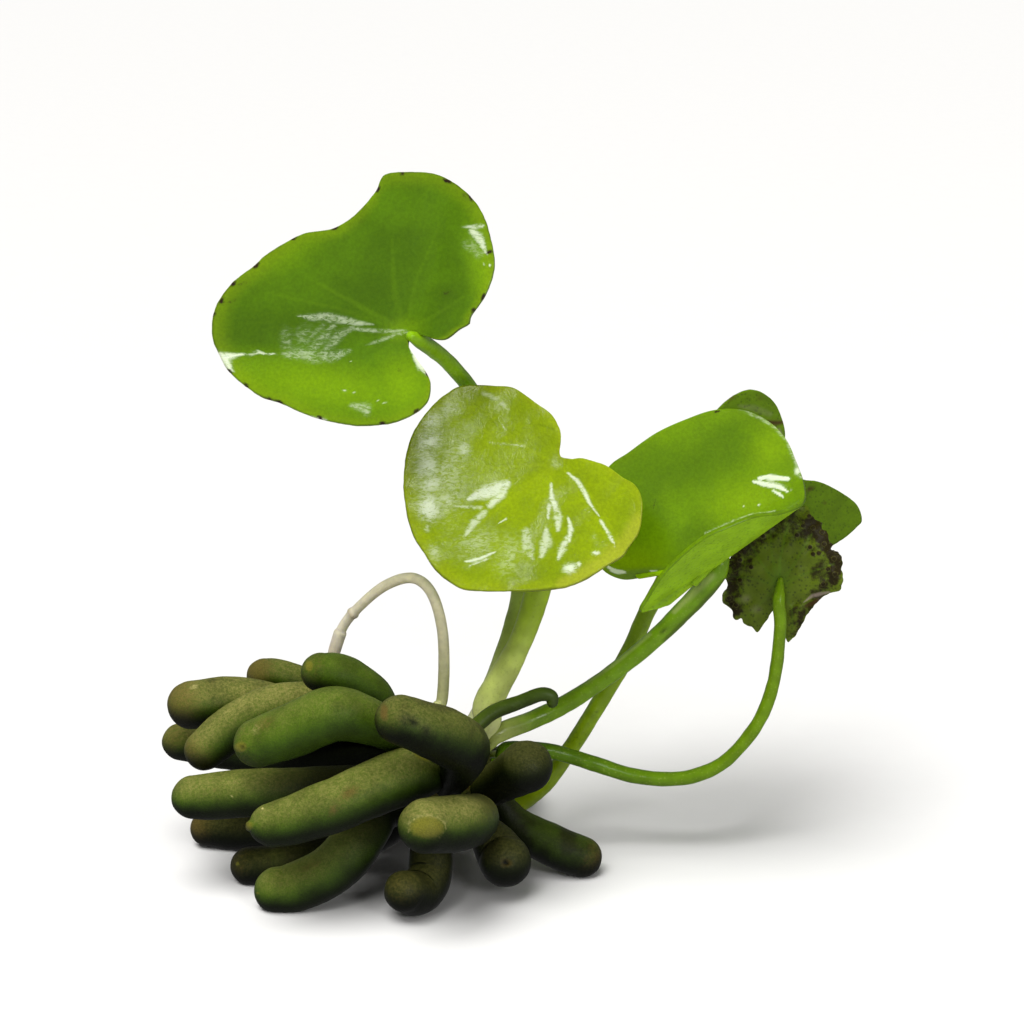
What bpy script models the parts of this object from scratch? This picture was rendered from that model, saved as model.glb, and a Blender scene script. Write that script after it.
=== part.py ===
"""A banana lily, lifted from the water and standing on its banana-shaped tubers.

The plant is a short crown with a fist of thick tubers around it, one thin pale root and five
leaf stalks, each with one heart-shaped floating leaf.

The layout is written as a sight: millimetres to the right and down on a square view plane that
stands in front of the plant, and millimetres back from the plane through the crown. place()
turns a sight into a point in space. Everything is in metres in the scene, with +Z up.
"""

import math

import bmesh
import bpy
from mathutils import Matrix, Vector

MM = 0.001

# The view plane: a square seen from the front and a little above.
VIEW_TILT = math.radians(18.0)
VIEW_DISTANCE = 300.0
VIEW_CENTRE = 51.2
AIM_HEIGHT = 39.0

GAP = 0.3
FLOOR = 0.0

CROWN_SIGHT = (45.0, 76.8, 0.0)
CROWN_RADII = (4.4, 4.8, 5.0)
CROWN_ROUNDNESS = 2
NECK_LENGTH = 1.3

TUBER_SIDES = 10
TUBER_RINGS = 8
STALK_SIDES = 8
STALK_RINGS = 13
ROOT_RINGS = 18
TIP_ANGLES = (25.0, 50.0, 78.0)
CURVE_STEPS = 12

LEAF_THICKNESS = 0.5
LEAF_RINGS = 5

# A unit sheet runs from -0.5 to 0.5. Points closer than MERGE_DISTANCE become one.
SHEET_HALF = 0.5
MERGE_DISTANCE = 0.001

# Each tuber: the side of the crown that it grows from, as (x, y, z), the radius of its neck,
# and its line as sights with a radius: (right, down, back, radius).
TUBERS = {
    "tuber_01": ((-0.80, 0.45, 0.38), 1.0, [
        (35.5, 72.6, 5.8, 1.6), (29.0, 70.9, 5.3, 2.2), (23.5, 70.3, 4.2, 2.55), (19.4, 70.6, 3.0, 2.5)]),
    "tuber_02": ((-0.85, 0.50, -0.05), 1.0, [
        (36.0, 76.0, 7.0, 1.5), (28.0, 75.8, 7.8, 1.9), (22.5, 75.0, 7.5, 2.0), (18.2, 74.2, 6.9, 1.9)]),
    "tuber_03": ((-0.85, 0.02, 0.53), 1.0, [
        (38.0, 72.9, 0.9, 1.5), (34.0, 71.3, 0.2, 1.9), (30.5, 70.3, -0.4, 2.2),
        (26.5, 71.0, -0.9, 2.3), (22.8, 73.1, -1.2, 2.3), (20.5, 75.0, -2.0, 2.1)]),
    "tuber_04": ((-0.75, -0.50, 0.42), 1.1, [
        (39.4, 73.4, -7.4, 1.9), (34.0, 71.4, -10.2, 2.7), (29.5, 72.9, -10.0, 2.7), (25.8, 74.3, -9.8, 2.4)]),
    "tuber_05": ((-0.98, -0.15, 0.0), 1.1, [
        (37.0, 78.0, -1.0, 1.8), (31.0, 78.9, -4.0, 2.2), (26.0, 79.2, -5.0, 2.4), (21.5, 79.6, -5.0, 2.4),
        (19.3, 79.7, -5.0, 2.2)]),
    "tuber_06": ((-0.72, -0.68, -0.05), 1.2, [
        (40.0, 78.3, -9.0, 2.2), (36.8, 79.1, -12.0, 2.7), (33.5, 80.5, -13.5, 2.7), (29.9, 81.8, -14.0, 2.5),
        (27.2, 82.5, -14.0, 2.2)]),
    "tuber_07": ((-0.66, -0.48, -0.56), 1.1, [
        (38.0, 81.4, -5.0, 2.1), (35.4, 84.7, -8.0, 2.6), (32.8, 87.2, -8.9, 2.6), (29.4, 88.8, -9.1, 2.5),
        (27.7, 89.0, -9.2, 2.3)]),
    "tuber_08": ((-0.80, 0.30, -0.50), 1.0, [
        (36.0, 81.0, 3.5, 1.7), (30.0, 82.8, 4.8, 2.0), (24.5, 83.1, 5.6, 2.0), (21.1, 82.8, 6.0, 1.9)]),
    "tuber_09": ((-0.62, -0.05, -0.78), 1.0, [
        (38.5, 83.0, 0.0, 1.8), (33.0, 85.3, -2.0, 2.0), (28.5, 86.4, -3.0, 2.1), (25.0, 86.6, -3.0, 2.0)]),
    "tuber_10": ((-0.40, 0.55, 0.73), 0.9, [
        (39.5, 71.2, 8.5, 1.4), (33.0, 69.3, 11.0, 1.7), (28.8, 67.9, 10.8, 1.9), (26.8, 67.6, 10.2, 1.8)]),
    "tuber_11": ((-0.52, -0.25, 0.81), 1.0, [
        (38.7, 71.4, -2.3, 1.7), (36.9, 69.4, -3.4, 2.15), (34.5, 67.8, -4.2, 2.3), (32.4, 67.3, -4.4, 2.0)]),
    "tuber_12": ((0.0, -0.98, 0.10), 1.3, [
        (47.3, 76.6, -9.5, 2.3), (46.9, 74.9, -11.5, 2.7), (45.3, 73.6, -13.0, 2.8), (42.5, 72.7, -14.5, 2.6),
        (40.0, 71.8, -15.2, 2.4)]),
    "tuber_13": ((0.85, -0.50, 0.05), 1.1, [
        (49.8, 78.1, -3.0, 1.9), (51.8, 77.2, -6.0, 2.45), (52.6, 76.7, -8.2, 2.65)]),
    "tuber_14": ((0.45, -0.78, -0.42), 1.1, [
        (48.5, 81.8, -9.0, 2.4), (46.5, 82.4, -14.0, 2.8), (42.6, 82.6, -17.0, 2.7)]),
    "tuber_15": ((-0.12, -0.52, -0.84), 1.1, [
        (43.2, 84.5, -6.0, 2.1), (43.0, 87.4, -8.0, 2.25), (41.9, 89.2, -10.0, 2.3),
        (40.5, 89.2, -12.4, 2.1)]),
    "tuber_16": ((0.42, -0.15, -0.89), 1.0, [
        (49.0, 83.8, -4.6, 2.1), (50.3, 85.8, -6.0, 2.6), (50.5, 86.1, -7.2, 2.6)]),
    "tuber_17": ((0.80, 0.02, -0.60), 1.1, [
        (52.3, 83.0, -0.4, 2.0), (56.1, 84.9, -1.3, 2.2), (58.1, 85.7, -1.3, 2.15)]),
    "tuber_18": ((-0.45, 0.85, 0.20), 1.0, [
        (40.0, 74.8, 11.0, 1.8), (35.5, 76.2, 16.0, 2.1), (31.5, 78.3, 19.0, 2.0)]),
    "tuber_19": ((-0.45, 0.70, -0.55), 1.0, [
        (40.0, 79.3, 8.0, 1.8), (36.0, 80.1, 11.5, 2.1), (31.0, 80.8, 13.0, 2.1), (27.5, 80.9, 13.0, 1.9)]),
    "tuber_20": ((0.10, 0.98, -0.15), 1.1, [
        (44.0, 77.0, 12.0, 2.0), (42.8, 76.8, 18.0, 2.3), (41.5, 76.9, 22.0, 2.2)]),
    "tuber_21": ((0.15, 0.60, -0.78), 1.0, [
        (45.5, 81.6, 6.0, 1.9), (45.5, 81.1, 10.0, 2.1), (46.5, 80.0, 14.0, 2.0)]),
    "tuber_22": ((0.48, 0.86, 0.15), 1.0, [
        (49.5, 77.0, 9.0, 1.7), (51.0, 77.5, 14.0, 2.0), (51.8, 78.3, 17.5, 1.9)]),
}

# The slender young tuber, the pale root and the leaf stalks are written in the same way.
YOUNG_TUBER = ((0.35, -0.45, 0.82), 0.9, [
    (49.2, 71.2, -2.0, 0.9), (52.0, 69.9, -1.5, 0.87), (54.2, 69.3, -1.5, 0.85), (55.2, 69.8, -1.5, 0.8)])

PALE_ROOT = ((-0.20, 0.10, 0.97), 0.6, [
    (44.2, 70.0, 1.5, 0.6), (44.4, 66.4, 1.2, 0.58), (44.2, 62.8, 1.0, 0.56), (43.4, 59.8, 1.2, 0.55),
    (42.2, 58.2, 1.8, 0.55), (40.6, 57.8, 2.6, 0.55), (38.3, 58.7, 3.5, 0.54), (36.0, 60.6, 4.5, 0.52),
    (34.4, 62.5, 5.0, 0.52), (33.6, 64.6, 5.0, 0.5), (33.0, 66.8, 5.0, 0.45)])

STALKS = {
    "stalk_left": ((0.05, 0.58, 0.81), 0.9, [
        (47.7, 71.0, 4.5, 1.0), (49.8, 66.8, 5.0, 0.9), (51.2, 62.5, 5.5, 0.85), (52.0, 58.5, 6.0, 0.85),
        (51.6, 52.0, 7.5, 0.85), (50.0, 46.0, 7.5, 0.82), (48.5, 41.5, 6.7, 0.8), (46.9, 38.7, 5.7, 0.8),
        (44.8, 36.2, 3.2, 0.8), (43.1, 34.8, 0.8, 0.8), (41.9, 34.2, -0.7, 0.8)]),
    "stalk_middle": ((0.38, 0.10, 0.92), 1.2, [
        (48.8, 70.3, 1.0, 1.5), (50.6, 67.0, 1.0, 1.35), (52.2, 63.8, 1.0, 1.2), (53.5, 60.0, 1.6, 1.3),
        (54.4, 56.0, 2.6, 1.35), (54.9, 51.0, 3.2, 1.2), (55.1, 47.6, 2.1, 1.1)]),
    "stalk_folded": ((0.82, 0.05, 0.57), 1.1, [
        (50.0, 73.1, 2.5, 1.1), (55.0, 71.2, 3.5, 0.95), (60.0, 68.2, 3.5, 0.9), (65.0, 64.3, 3.0, 0.95),
        (69.0, 60.4, 2.0, 1.05), (71.5, 58.0, 1.4, 1.15)]),
    "stalk_hidden": ((0.78, 0.60, -0.15), 1.0, [
        (49.8, 81.8, 5.5, 1.0), (52.0, 80.4, 6.0, 0.95), (54.6, 78.2, 6.0, 0.95), (57.1, 74.8, 6.5, 0.9),
        (60.2, 69.8, 7.0, 0.9), (63.0, 65.0, 8.0, 0.9), (64.9, 60.8, 8.7, 0.9), (68.0, 55.5, 10.0, 0.85),
        (72.5, 50.3, 11.1, 0.8), (76.0, 47.1, 12.0, 0.8)]),
    "stalk_dark": ((0.98, 0.12, 0.02), 0.85, [
        (50.5, 75.0, 1.5, 0.85), (54.9, 75.1, 3.0, 0.8), (59.5, 76.4, 3.0, 0.8), (63.0, 77.5, 3.0, 0.78),
        (66.4, 77.9, 3.0, 0.76), (69.7, 77.5, 3.0, 0.74), (72.9, 75.8, 3.0, 0.7), (75.9, 72.1, 3.0, 0.68),
        (77.4, 68.0, 3.0, 0.66), (78.0, 63.0, 2.8, 0.65), (77.9, 60.0, 2.7, 0.65)]),
}

# A leaf that faces the viewer: its middle, how far back the middle is, how much further back it
# lies per millimetre up and to the right, its dishing, and its margin as (right, down).
FACING_LEAVES = {
    "leaf_left": ((39.6, 33.6), -2.2, 0.45, -0.10, 1.2, [
        (40.9, 33.3), (43.8, 33.7), (46.0, 33.0), (47.0, 31.6), (48.6, 29.3), (49.4, 26.4), (48.8, 22.9),
        (48.0, 20.9), (46.6, 19.2), (44.6, 17.9), (42.2, 17.2), (38.9, 17.4), (37.6, 19.1), (36.1, 20.9),
        (33.6, 22.6), (29.6, 23.8), (26.0, 26.0), (22.8, 28.8), (21.3, 31.6), (21.5, 34.6), (22.9, 37.1),
        (25.8, 39.5), (30.4, 41.3), (35.0, 42.5), (39.2, 42.2), (42.0, 40.7), (43.0, 38.6), (41.8, 36.2)]),
    "leaf_middle": ((52.6, 48.0), -0.9, 0.45, 0.05, 1.4, [
        (55.9, 45.8), (56.1, 43.6), (55.4, 42.0), (53.4, 40.1), (51.4, 38.8), (48.6, 38.4), (46.1, 38.6),
        (43.8, 40.1), (42.0, 42.1), (41.0, 44.2), (40.4, 47.2), (40.6, 50.6), (41.4, 53.8), (43.0, 56.2),
        (44.8, 57.9), (47.1, 59.0), (50.2, 59.2), (53.4, 59.1), (56.4, 58.7), (59.2, 57.5), (61.4, 56.1),
        (63.2, 54.2), (64.2, 51.8), (64.2, 49.8), (63.2, 48.0), (61.2, 46.7), (58.6, 45.8)]),
    "leaf_hidden": ((76.3, 47.6), 13.6, 0.10, 0.20, -0.5, [
        (77.9, 45.9), (78.7, 43.9), (78.4, 42.0), (77.4, 40.1), (75.8, 39.1), (74.0, 39.2), (72.4, 40.4),
        (70.8, 42.4), (69.8, 45.0), (69.7, 48.0), (70.6, 51.0), (72.6, 53.6), (75.4, 55.4), (78.3, 56.1),
        (81.0, 55.8), (83.2, 54.7), (84.9, 53.5), (86.1, 52.1), (85.8, 50.4), (84.4, 49.2), (82.4, 48.3),
        (80.4, 47.8), (78.8, 47.0)]),
    "leaf_dark": ((77.9, 58.0), 4.2, 0.15, -0.15, -1.0, [
        (78.6, 63.9), (79.4, 63.7), (80.7, 61.7), (82.0, 60.1), (83.8, 59.1), (84.2, 57.6), (84.1, 55.4),
        (83.1, 54.9), (83.0, 53.8), (82.2, 52.4), (81.0, 51.3), (79.8, 50.7), (77.6, 51.0), (75.4, 52.4),
        (73.8, 54.4), (72.9, 56.2), (72.6, 57.8), (72.5, 59.2), (72.2, 60.2), (73.2, 60.9), (73.8, 62.1),
        (75.8, 63.2), (76.8, 61.7), (77.5, 60.9)]),
}

# The leaf folded along its length: its middle and its margin, as sights.
FOLDED_LEAF_MIDDLE = (71.0, 56.6, 0.2)
FOLDED_LEAF_MARGIN = [
    (68.4, 56.7, 0.8), (65.4, 56.7, 1.5), (63.6, 57.3, 2.0), (62.0, 57.7, 2.4), (60.2, 56.9, 3.0),
    (59.1, 54.6, 4.4), (59.2, 50.6, 6.0), (60.7, 46.9, 7.5), (62.9, 45.2, 8.2), (65.6, 43.3, 9.0),
    (68.4, 42.0, 9.6),
    (71.4, 41.0, 9.8), (74.3, 41.0, 9.2), (76.8, 42.1, 8.2), (78.6, 43.9, 6.8), (79.8, 46.1, 5.2),
    (80.6, 48.3, 3.2), (80.1, 50.1, 0.8), (77.8, 51.1, -2.2), (75.4, 51.4, -4.0), (72.8, 52.4, -5.0),
    (70.4, 53.5, -5.5), (68.2, 55.2, -5.4), (66.2, 57.2, -5.0), (64.8, 59.3, -4.4), (63.9, 61.0, -3.8),
    (65.6, 60.9, -3.1), (67.4, 59.6, -2.0), (69.4, 58.2, -0.9)]

# Plain colours, as linear red, green and blue, with a roughness.
FINISHES = {
    "crown_tissue": ((0.16, 0.12, 0.02), 0.6),
    "tuber_skin": ((0.06, 0.10, 0.01), 0.55),
    "young_tuber_skin": ((0.02, 0.05, 0.005), 0.4),
    "pale_root_skin": ((0.60, 0.55, 0.32), 0.5),
    "stalk_skin": ((0.16, 0.30, 0.02), 0.35),
    "leaf_green": ((0.18, 0.36, 0.01), 0.25),
    "leaf_yellow_green": ((0.32, 0.42, 0.02), 0.2),
    "leaf_purple_underside": ((0.04, 0.05, 0.01), 0.5),
}
LEAF_FINISHES = {
    "leaf_left": "leaf_green",
    "leaf_middle": "leaf_yellow_green",
    "leaf_folded": "leaf_green",
    "leaf_hidden": "leaf_green",
    "leaf_dark": "leaf_purple_underside",
}


def clear_scene():
    """Removes every object, so the plant is alone."""
    for thing in list(bpy.data.objects):
        bpy.data.objects.remove(thing, do_unlink=True)


def place(right, down, back):
    """The point in space, in millimetres, that a sight names.

    The eye stands VIEW_DISTANCE away from a point AIM_HEIGHT above the floor, and looks down by
    VIEW_TILT. The sight line through (right, down) is followed until it is this far back.
    """
    slope_up = (VIEW_CENTRE - down) / VIEW_DISTANCE
    slope_right = (right - VIEW_CENTRE) / VIEW_DISTANCE
    cosine = math.cos(VIEW_TILT)
    sine = math.sin(VIEW_TILT)
    rise = (slope_up * VIEW_DISTANCE + back * (slope_up * cosine - sine)) / (cosine + slope_up * sine)
    reach = VIEW_DISTANCE + back * cosine - rise * sine
    return Vector((slope_right * reach, back, rise + AIM_HEIGHT))


def crown_centre():
    """The middle of the crown."""
    return place(*CROWN_SIGHT)


def crown_surface(side, above):
    """The point on the crown towards a side, lifted this far above its skin, and the way out."""
    way_out = Vector(side).normalized()
    stretched = Vector(way_out[axis] / CROWN_RADII[axis] for axis in range(3))
    return crown_centre() + way_out * (1.0 / stretched.length + above), way_out


def curve_through(points, closed=False):
    """Points along the smooth curve through the given vectors, of any size."""
    count = len(points)
    spans = count if closed else count - 1
    line = []
    for index in range(spans):
        if closed:
            corners = [points[(index + step) % count] for step in (-1, 0, 1, 2)]
        else:
            corners = [points[min(max(index + step, 0), count - 1)] for step in (-1, 0, 1, 2)]
        before, start, end, after = corners
        for step in range(CURVE_STEPS):
            t = step / CURVE_STEPS
            line.append(
                0.5 * (2 * start + (end - before) * t
                       + (2 * before - 5 * start + 4 * end - after) * t ** 2
                       + (3 * start - before - 3 * end + after) * t ** 3)
            )
    if not closed:
        line.append(points[-1])
    return line


def grown_line(side, neck_radius, sights):
    """The middle line of something that grows from the crown, as points with a radius."""
    start, way_out = crown_surface(side, GAP)
    knots = [start, start + way_out * NECK_LENGTH]
    knots = [Vector((*knot, neck_radius)) for knot in knots]
    for right, down, back, radius in sights:
        knots.append(Vector((*place(right, down, back), radius)))
    return curve_through(knots)


def stations(line, rings):
    """Evenly spaced stops on a line, and closer ones that round off its far end.

    Each stop is a point with a radius and the way that the line runs there.
    """
    lengths = [0.0]
    for first, second in zip(line, line[1:]):
        lengths.append(lengths[-1] + (second.xyz - first.xyz).length)
    stops = []
    index = 1
    for ring in range(rings + 1):
        distance = lengths[-1] * ring / rings
        while index < len(line) - 1 and lengths[index] < distance:
            index += 1
        share = (distance - lengths[index - 1]) / (lengths[index] - lengths[index - 1])
        way = (line[index].xyz - line[index - 1].xyz).normalized()
        stops.append((line[index - 1].lerp(line[index], share), way))
    end, way = stops[-1]
    for angle in TIP_ANGLES:
        turn = math.radians(angle)
        centre = end.xyz + way * (end.w * math.sin(turn))
        stops.append((Vector((*centre, end.w * math.cos(turn))), way))
    return stops


def ring_matrices(stops):
    """One matrix for each stop, which carries a unit circle to its ring without twisting it."""
    across = stops[0][1].orthogonal().normalized()
    matrices = []
    for station, way in stops:
        across = (across - way * across.dot(way)).normalized()
        turned = Matrix((across, way.cross(across), way)).transposed().to_4x4()
        size = station.w * MM
        matrices.append(Matrix.Translation(station.xyz * MM) @ turned @ Matrix.Scale(size, 4))
    return matrices


def swept_mesh(name, stops, sides):
    """A closed round body: a ring is extruded from station to station, then both ends are filled."""
    mesh_maker = bmesh.new()
    matrices = ring_matrices(stops)
    ring = bmesh.ops.create_circle(mesh_maker, segments=sides, radius=1.0, matrix=matrices[0])["verts"]
    edges = list({edge for vert in ring for edge in vert.link_edges})
    for before, after in zip(matrices, matrices[1:]):
        grown = bmesh.ops.extrude_edge_only(mesh_maker, edges=edges)["geom"]
        ring = [item for item in grown if isinstance(item, bmesh.types.BMVert)]
        edges = [item for item in grown if isinstance(item, bmesh.types.BMEdge)]
        bmesh.ops.transform(mesh_maker, matrix=after @ before.inverted(), verts=ring)
    bmesh.ops.holes_fill(mesh_maker, edges=mesh_maker.edges[:], sides=0)
    bmesh.ops.recalc_face_normals(mesh_maker, faces=mesh_maker.faces[:])
    return finished_mesh(name, mesh_maker)


def finished_mesh(name, mesh_maker):
    """Turns the edited mesh into mesh data, shaded smooth, and frees the editor."""
    mesh = bpy.data.meshes.new(name)
    mesh_maker.to_mesh(mesh)
    mesh_maker.free()
    mesh.shade_smooth()
    return mesh


def rested(mesh):
    """Flattens a body where it presses on the floor: what lies lower is cut away and closed."""
    mesh_maker = bmesh.new()
    mesh_maker.from_mesh(mesh)
    bmesh.ops.bisect_plane(
        mesh_maker,
        geom=mesh_maker.verts[:] + mesh_maker.edges[:] + mesh_maker.faces[:],
        plane_co=(0.0, 0.0, FLOOR * MM),
        plane_no=(0.0, 0.0, -1.0),
        clear_outer=True,
    )
    bmesh.ops.holes_fill(mesh_maker, edges=mesh_maker.edges[:], sides=0)
    bmesh.ops.recalc_face_normals(mesh_maker, faces=mesh_maker.faces[:])
    mesh_maker.to_mesh(mesh)
    mesh_maker.free()
    mesh.shade_smooth()
    return mesh


def finish(name):
    """The plain material of a piece."""
    colour, roughness = FINISHES[name]
    material = bpy.data.materials.get(name) or bpy.data.materials.new(name)
    material.use_nodes = True
    shader = material.node_tree.nodes["Principled BSDF"]
    shader.inputs["Base Color"].default_value = (*colour, 1.0)
    shader.inputs["Roughness"].default_value = roughness
    shader.inputs["Metallic"].default_value = 0.0
    return material


def new_piece(name, mesh, finish_name, plant):
    """Names a piece, gives it its material and makes it part of the plant."""
    piece = bpy.data.objects.new(name, mesh)
    bpy.context.scene.collection.objects.link(piece)
    piece.data.materials.append(finish(finish_name))
    piece.parent = plant
    return piece


def build_crown(plant):
    """The short rootstock, hidden among the tubers."""
    mesh_maker = bmesh.new()
    bmesh.ops.create_icosphere(mesh_maker, subdivisions=CROWN_ROUNDNESS, radius=1.0)
    bmesh.ops.scale(mesh_maker, vec=Vector(CROWN_RADII) * MM, verts=mesh_maker.verts[:])
    crown = new_piece("crown", finished_mesh("crown", mesh_maker), "crown_tissue", plant)
    crown.location = crown_centre() * MM


def build_tubers(plant):
    """The thick tubers, each flattened where it rests on the floor, and the slender young one."""
    for name, growth in TUBERS.items():
        mesh = swept_mesh(name, stations(grown_line(*growth), TUBER_RINGS), TUBER_SIDES)
        new_piece(name, rested(mesh), "tuber_skin", plant)
    young = stations(grown_line(*YOUNG_TUBER), TUBER_RINGS)
    new_piece("tuber_young", swept_mesh("tuber_young", young, STALK_SIDES), "young_tuber_skin", plant)


def build_pale_root(plant):
    """The one thin root that arches up beside the stalks and comes down behind the tubers."""
    line = stations(grown_line(*PALE_ROOT), ROOT_RINGS)
    new_piece("root_pale", swept_mesh("root_pale", line, STALK_SIDES), "pale_root_skin", plant)


def build_stalks(plant):
    """The five leaf stalks."""
    for name, growth in STALKS.items():
        mesh = swept_mesh(name, stations(grown_line(*growth), STALK_RINGS), STALK_SIDES)
        new_piece(name, mesh, "stalk_skin", plant)


def facing_margin(growth):
    """The middle and margin of a leaf that faces the viewer, as sights."""
    (right, down), back, up_slope, right_slope, dishing, margin = growth
    furthest = max(math.hypot(x - right, y - down) for x, y in margin)
    sights = []
    for x, y in margin:
        share = math.hypot(x - right, y - down) / furthest
        lean = up_slope * (down - y) + right_slope * (x - right)
        sights.append((x, y, back + lean - dishing * share ** 2))
    return (right, down, back), sights


def leaf_mesh(name, middle, margin):
    """The upper skin of a leaf: a sheet wrapped round its middle, out to its margin."""
    centre = place(*middle)
    rim = [place(*sight) for sight in margin]
    mesh_maker = bmesh.new()
    spokes = len(rim)
    bmesh.ops.create_grid(mesh_maker, x_segments=spokes, y_segments=LEAF_RINGS, size=SHEET_HALF)
    for vert in mesh_maker.verts:
        spoke = round((vert.co.x + SHEET_HALF) * spokes) % spokes
        share = vert.co.y + SHEET_HALF
        vert.co = centre.lerp(rim[spoke], share) * MM
    bmesh.ops.remove_doubles(mesh_maker, verts=mesh_maker.verts[:], dist=MERGE_DISTANCE * MM)
    bmesh.ops.recalc_face_normals(mesh_maker, faces=mesh_maker.faces[:])
    turned_away = sum(face.normal.y * face.calc_area() for face in mesh_maker.faces) > 0
    if turned_away:
        bmesh.ops.reverse_faces(mesh_maker, faces=mesh_maker.faces[:])
    return finished_mesh(name, mesh_maker)


def add_leaf(name, middle, margin, plant):
    """A leaf blade of even thickness."""
    leaf = new_piece(name, leaf_mesh(name, middle, margin), LEAF_FINISHES[name], plant)
    wall = leaf.modifiers.new("thickness", "SOLIDIFY")
    wall.thickness = LEAF_THICKNESS * MM
    wall.offset = -1.0


def build_leaves(plant):
    """The four leaves that face the viewer and the one that is folded along its length."""
    for name, growth in FACING_LEAVES.items():
        middle, margin = facing_margin(growth)
        add_leaf(name, middle, margin, plant)
    add_leaf("leaf_folded", FOLDED_LEAF_MIDDLE, FOLDED_LEAF_MARGIN, plant)


def centre_over_origin(plant):
    """Moves the plant sideways until the middle of its box stands over the origin."""
    bpy.context.view_layer.update()
    graph = bpy.context.evaluated_depsgraph_get()
    lows = []
    highs = []
    for piece in plant.children:
        solid = piece.evaluated_get(graph)
        corners = [solid.matrix_world @ vert.co for vert in solid.data.vertices]
        for axis in range(2):
            lows.append((axis, min(corner[axis] for corner in corners)))
            highs.append((axis, max(corner[axis] for corner in corners)))
    for axis in range(2):
        low = min(value for which, value in lows if which == axis)
        high = max(value for which, value in highs if which == axis)
        plant.location[axis] = -(low + high) / 2.0


def main():
    """Builds the whole plant."""
    clear_scene()
    plant = bpy.data.objects.new("plant", None)
    bpy.context.scene.collection.objects.link(plant)
    build_crown(plant)
    build_tubers(plant)
    build_pale_root(plant)
    build_stalks(plant)
    build_leaves(plant)
    centre_over_origin(plant)


main()
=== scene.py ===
"""A banana lily lifted from the water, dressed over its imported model.

Sizes are in millimetres and are turned to metres where a mesh is made. Most places are written as
a sight: millimetres to the right and down on a square view plane in front of the plant, and
millimetres back from the plane through the crown.
"""

import logging
import math
from dataclasses import dataclass, field
from enum import Enum

import bmesh
import bpy
from mathutils import Matrix, Vector, noise


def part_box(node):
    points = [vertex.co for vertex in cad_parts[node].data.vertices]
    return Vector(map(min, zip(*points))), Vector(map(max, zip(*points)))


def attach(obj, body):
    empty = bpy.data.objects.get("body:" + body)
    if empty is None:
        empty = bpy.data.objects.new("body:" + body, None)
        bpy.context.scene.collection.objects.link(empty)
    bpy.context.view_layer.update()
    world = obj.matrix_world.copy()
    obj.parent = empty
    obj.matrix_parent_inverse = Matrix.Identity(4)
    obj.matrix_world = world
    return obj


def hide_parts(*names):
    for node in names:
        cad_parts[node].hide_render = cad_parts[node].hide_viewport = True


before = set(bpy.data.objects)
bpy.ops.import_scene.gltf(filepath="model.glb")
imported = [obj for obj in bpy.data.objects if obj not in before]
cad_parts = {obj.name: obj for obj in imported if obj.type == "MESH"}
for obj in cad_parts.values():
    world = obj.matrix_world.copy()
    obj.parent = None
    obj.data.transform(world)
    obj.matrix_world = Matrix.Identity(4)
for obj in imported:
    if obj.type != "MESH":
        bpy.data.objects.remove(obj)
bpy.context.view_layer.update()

MM = 0.001
CURVE_STEPS = 12
MERGE_DISTANCE = 0.0005
SHEET_HALF = 0.5

log = logging.getLogger("banana_lily")

Triple = tuple[float, float, float]
Knot = tuple[float, float, float, float]


def smooth(low: float, high: float, value: float) -> float:
    """Rises smoothly from 0 at low to 1 at high, or falls where low is above high."""
    share = min(max((value - low) / (high - low), 0.0), 1.0)
    return share * share * (3.0 - 2.0 * share)


def linear(code: str) -> tuple[float, float, float, float]:
    """Turns an sRGB hex code into linear red, green, blue and alpha.

    Args:
        code: The colour as six hex digits after a hash.

    Returns:
        The linear colour, with an alpha of 1.
    """
    parts = [int(code[index:index + 2], 16) / 255.0 for index in (1, 3, 5)]
    toned = [part / 12.92 if part <= 0.04045 else ((part + 0.055) / 1.055) ** 2.4 for part in parts]
    return (toned[0], toned[1], toned[2], 1.0)


@dataclass(frozen=True)
class Eye:
    """The viewer, who stands in front of the plant and looks down at it a little.

    Attributes:
        shift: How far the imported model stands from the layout's own origin, in millimetres.
    """

    shift: Vector
    tilt: float = math.radians(18.0)
    distance: float = 300.0
    centre: float = 51.2
    aim_height: float = 39.0
    focal_pixels: float = 3000.0
    frame_pixels: float = 1024.0
    sensor: float = 36.0

    def place(self, right: float, down: float, back: float) -> Vector:
        """The point that a sight names.

        Args:
            right: Millimetres from the view plane's left side.
            down: Millimetres from its top.
            back: Millimetres behind the plane through the crown.

        Returns:
            The point in the row frame, in millimetres.
        """
        slope_up = (self.centre - down) / self.distance
        slope_right = (right - self.centre) / self.distance
        cosine, sine = math.cos(self.tilt), math.sin(self.tilt)
        rise = (slope_up * self.distance + back * (slope_up * cosine - sine)) / (cosine + slope_up * sine)
        reach = self.distance + back * cosine - rise * sine
        return Vector((slope_right * reach, back, rise + self.aim_height)) + self.shift

    def sight(self, point: Vector) -> tuple[float, float]:
        """Where a point of the row frame, in millimetres, is seen: right and down."""
        here = point - self.shift
        cosine, sine = math.cos(self.tilt), math.sin(self.tilt)
        rise = here.z - self.aim_height
        reach = self.distance + here.y * cosine - rise * sine
        up = (rise * cosine + here.y * sine) / reach
        return self.centre + here.x / reach * self.distance, self.centre - up * self.distance

    def stand(self) -> Vector:
        """The eye's own place in the row frame, in millimetres."""
        out = Vector((0.0, -math.cos(self.tilt), math.sin(self.tilt)))
        return Vector((0.0, 0.0, self.aim_height)) + self.shift + out * self.distance

    def sees(self, point: Vector, normal: Vector) -> bool:
        """True if skin at this point, in millimetres, is turned towards the eye."""
        return normal.dot(self.stand() - point) > 0.0


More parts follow.
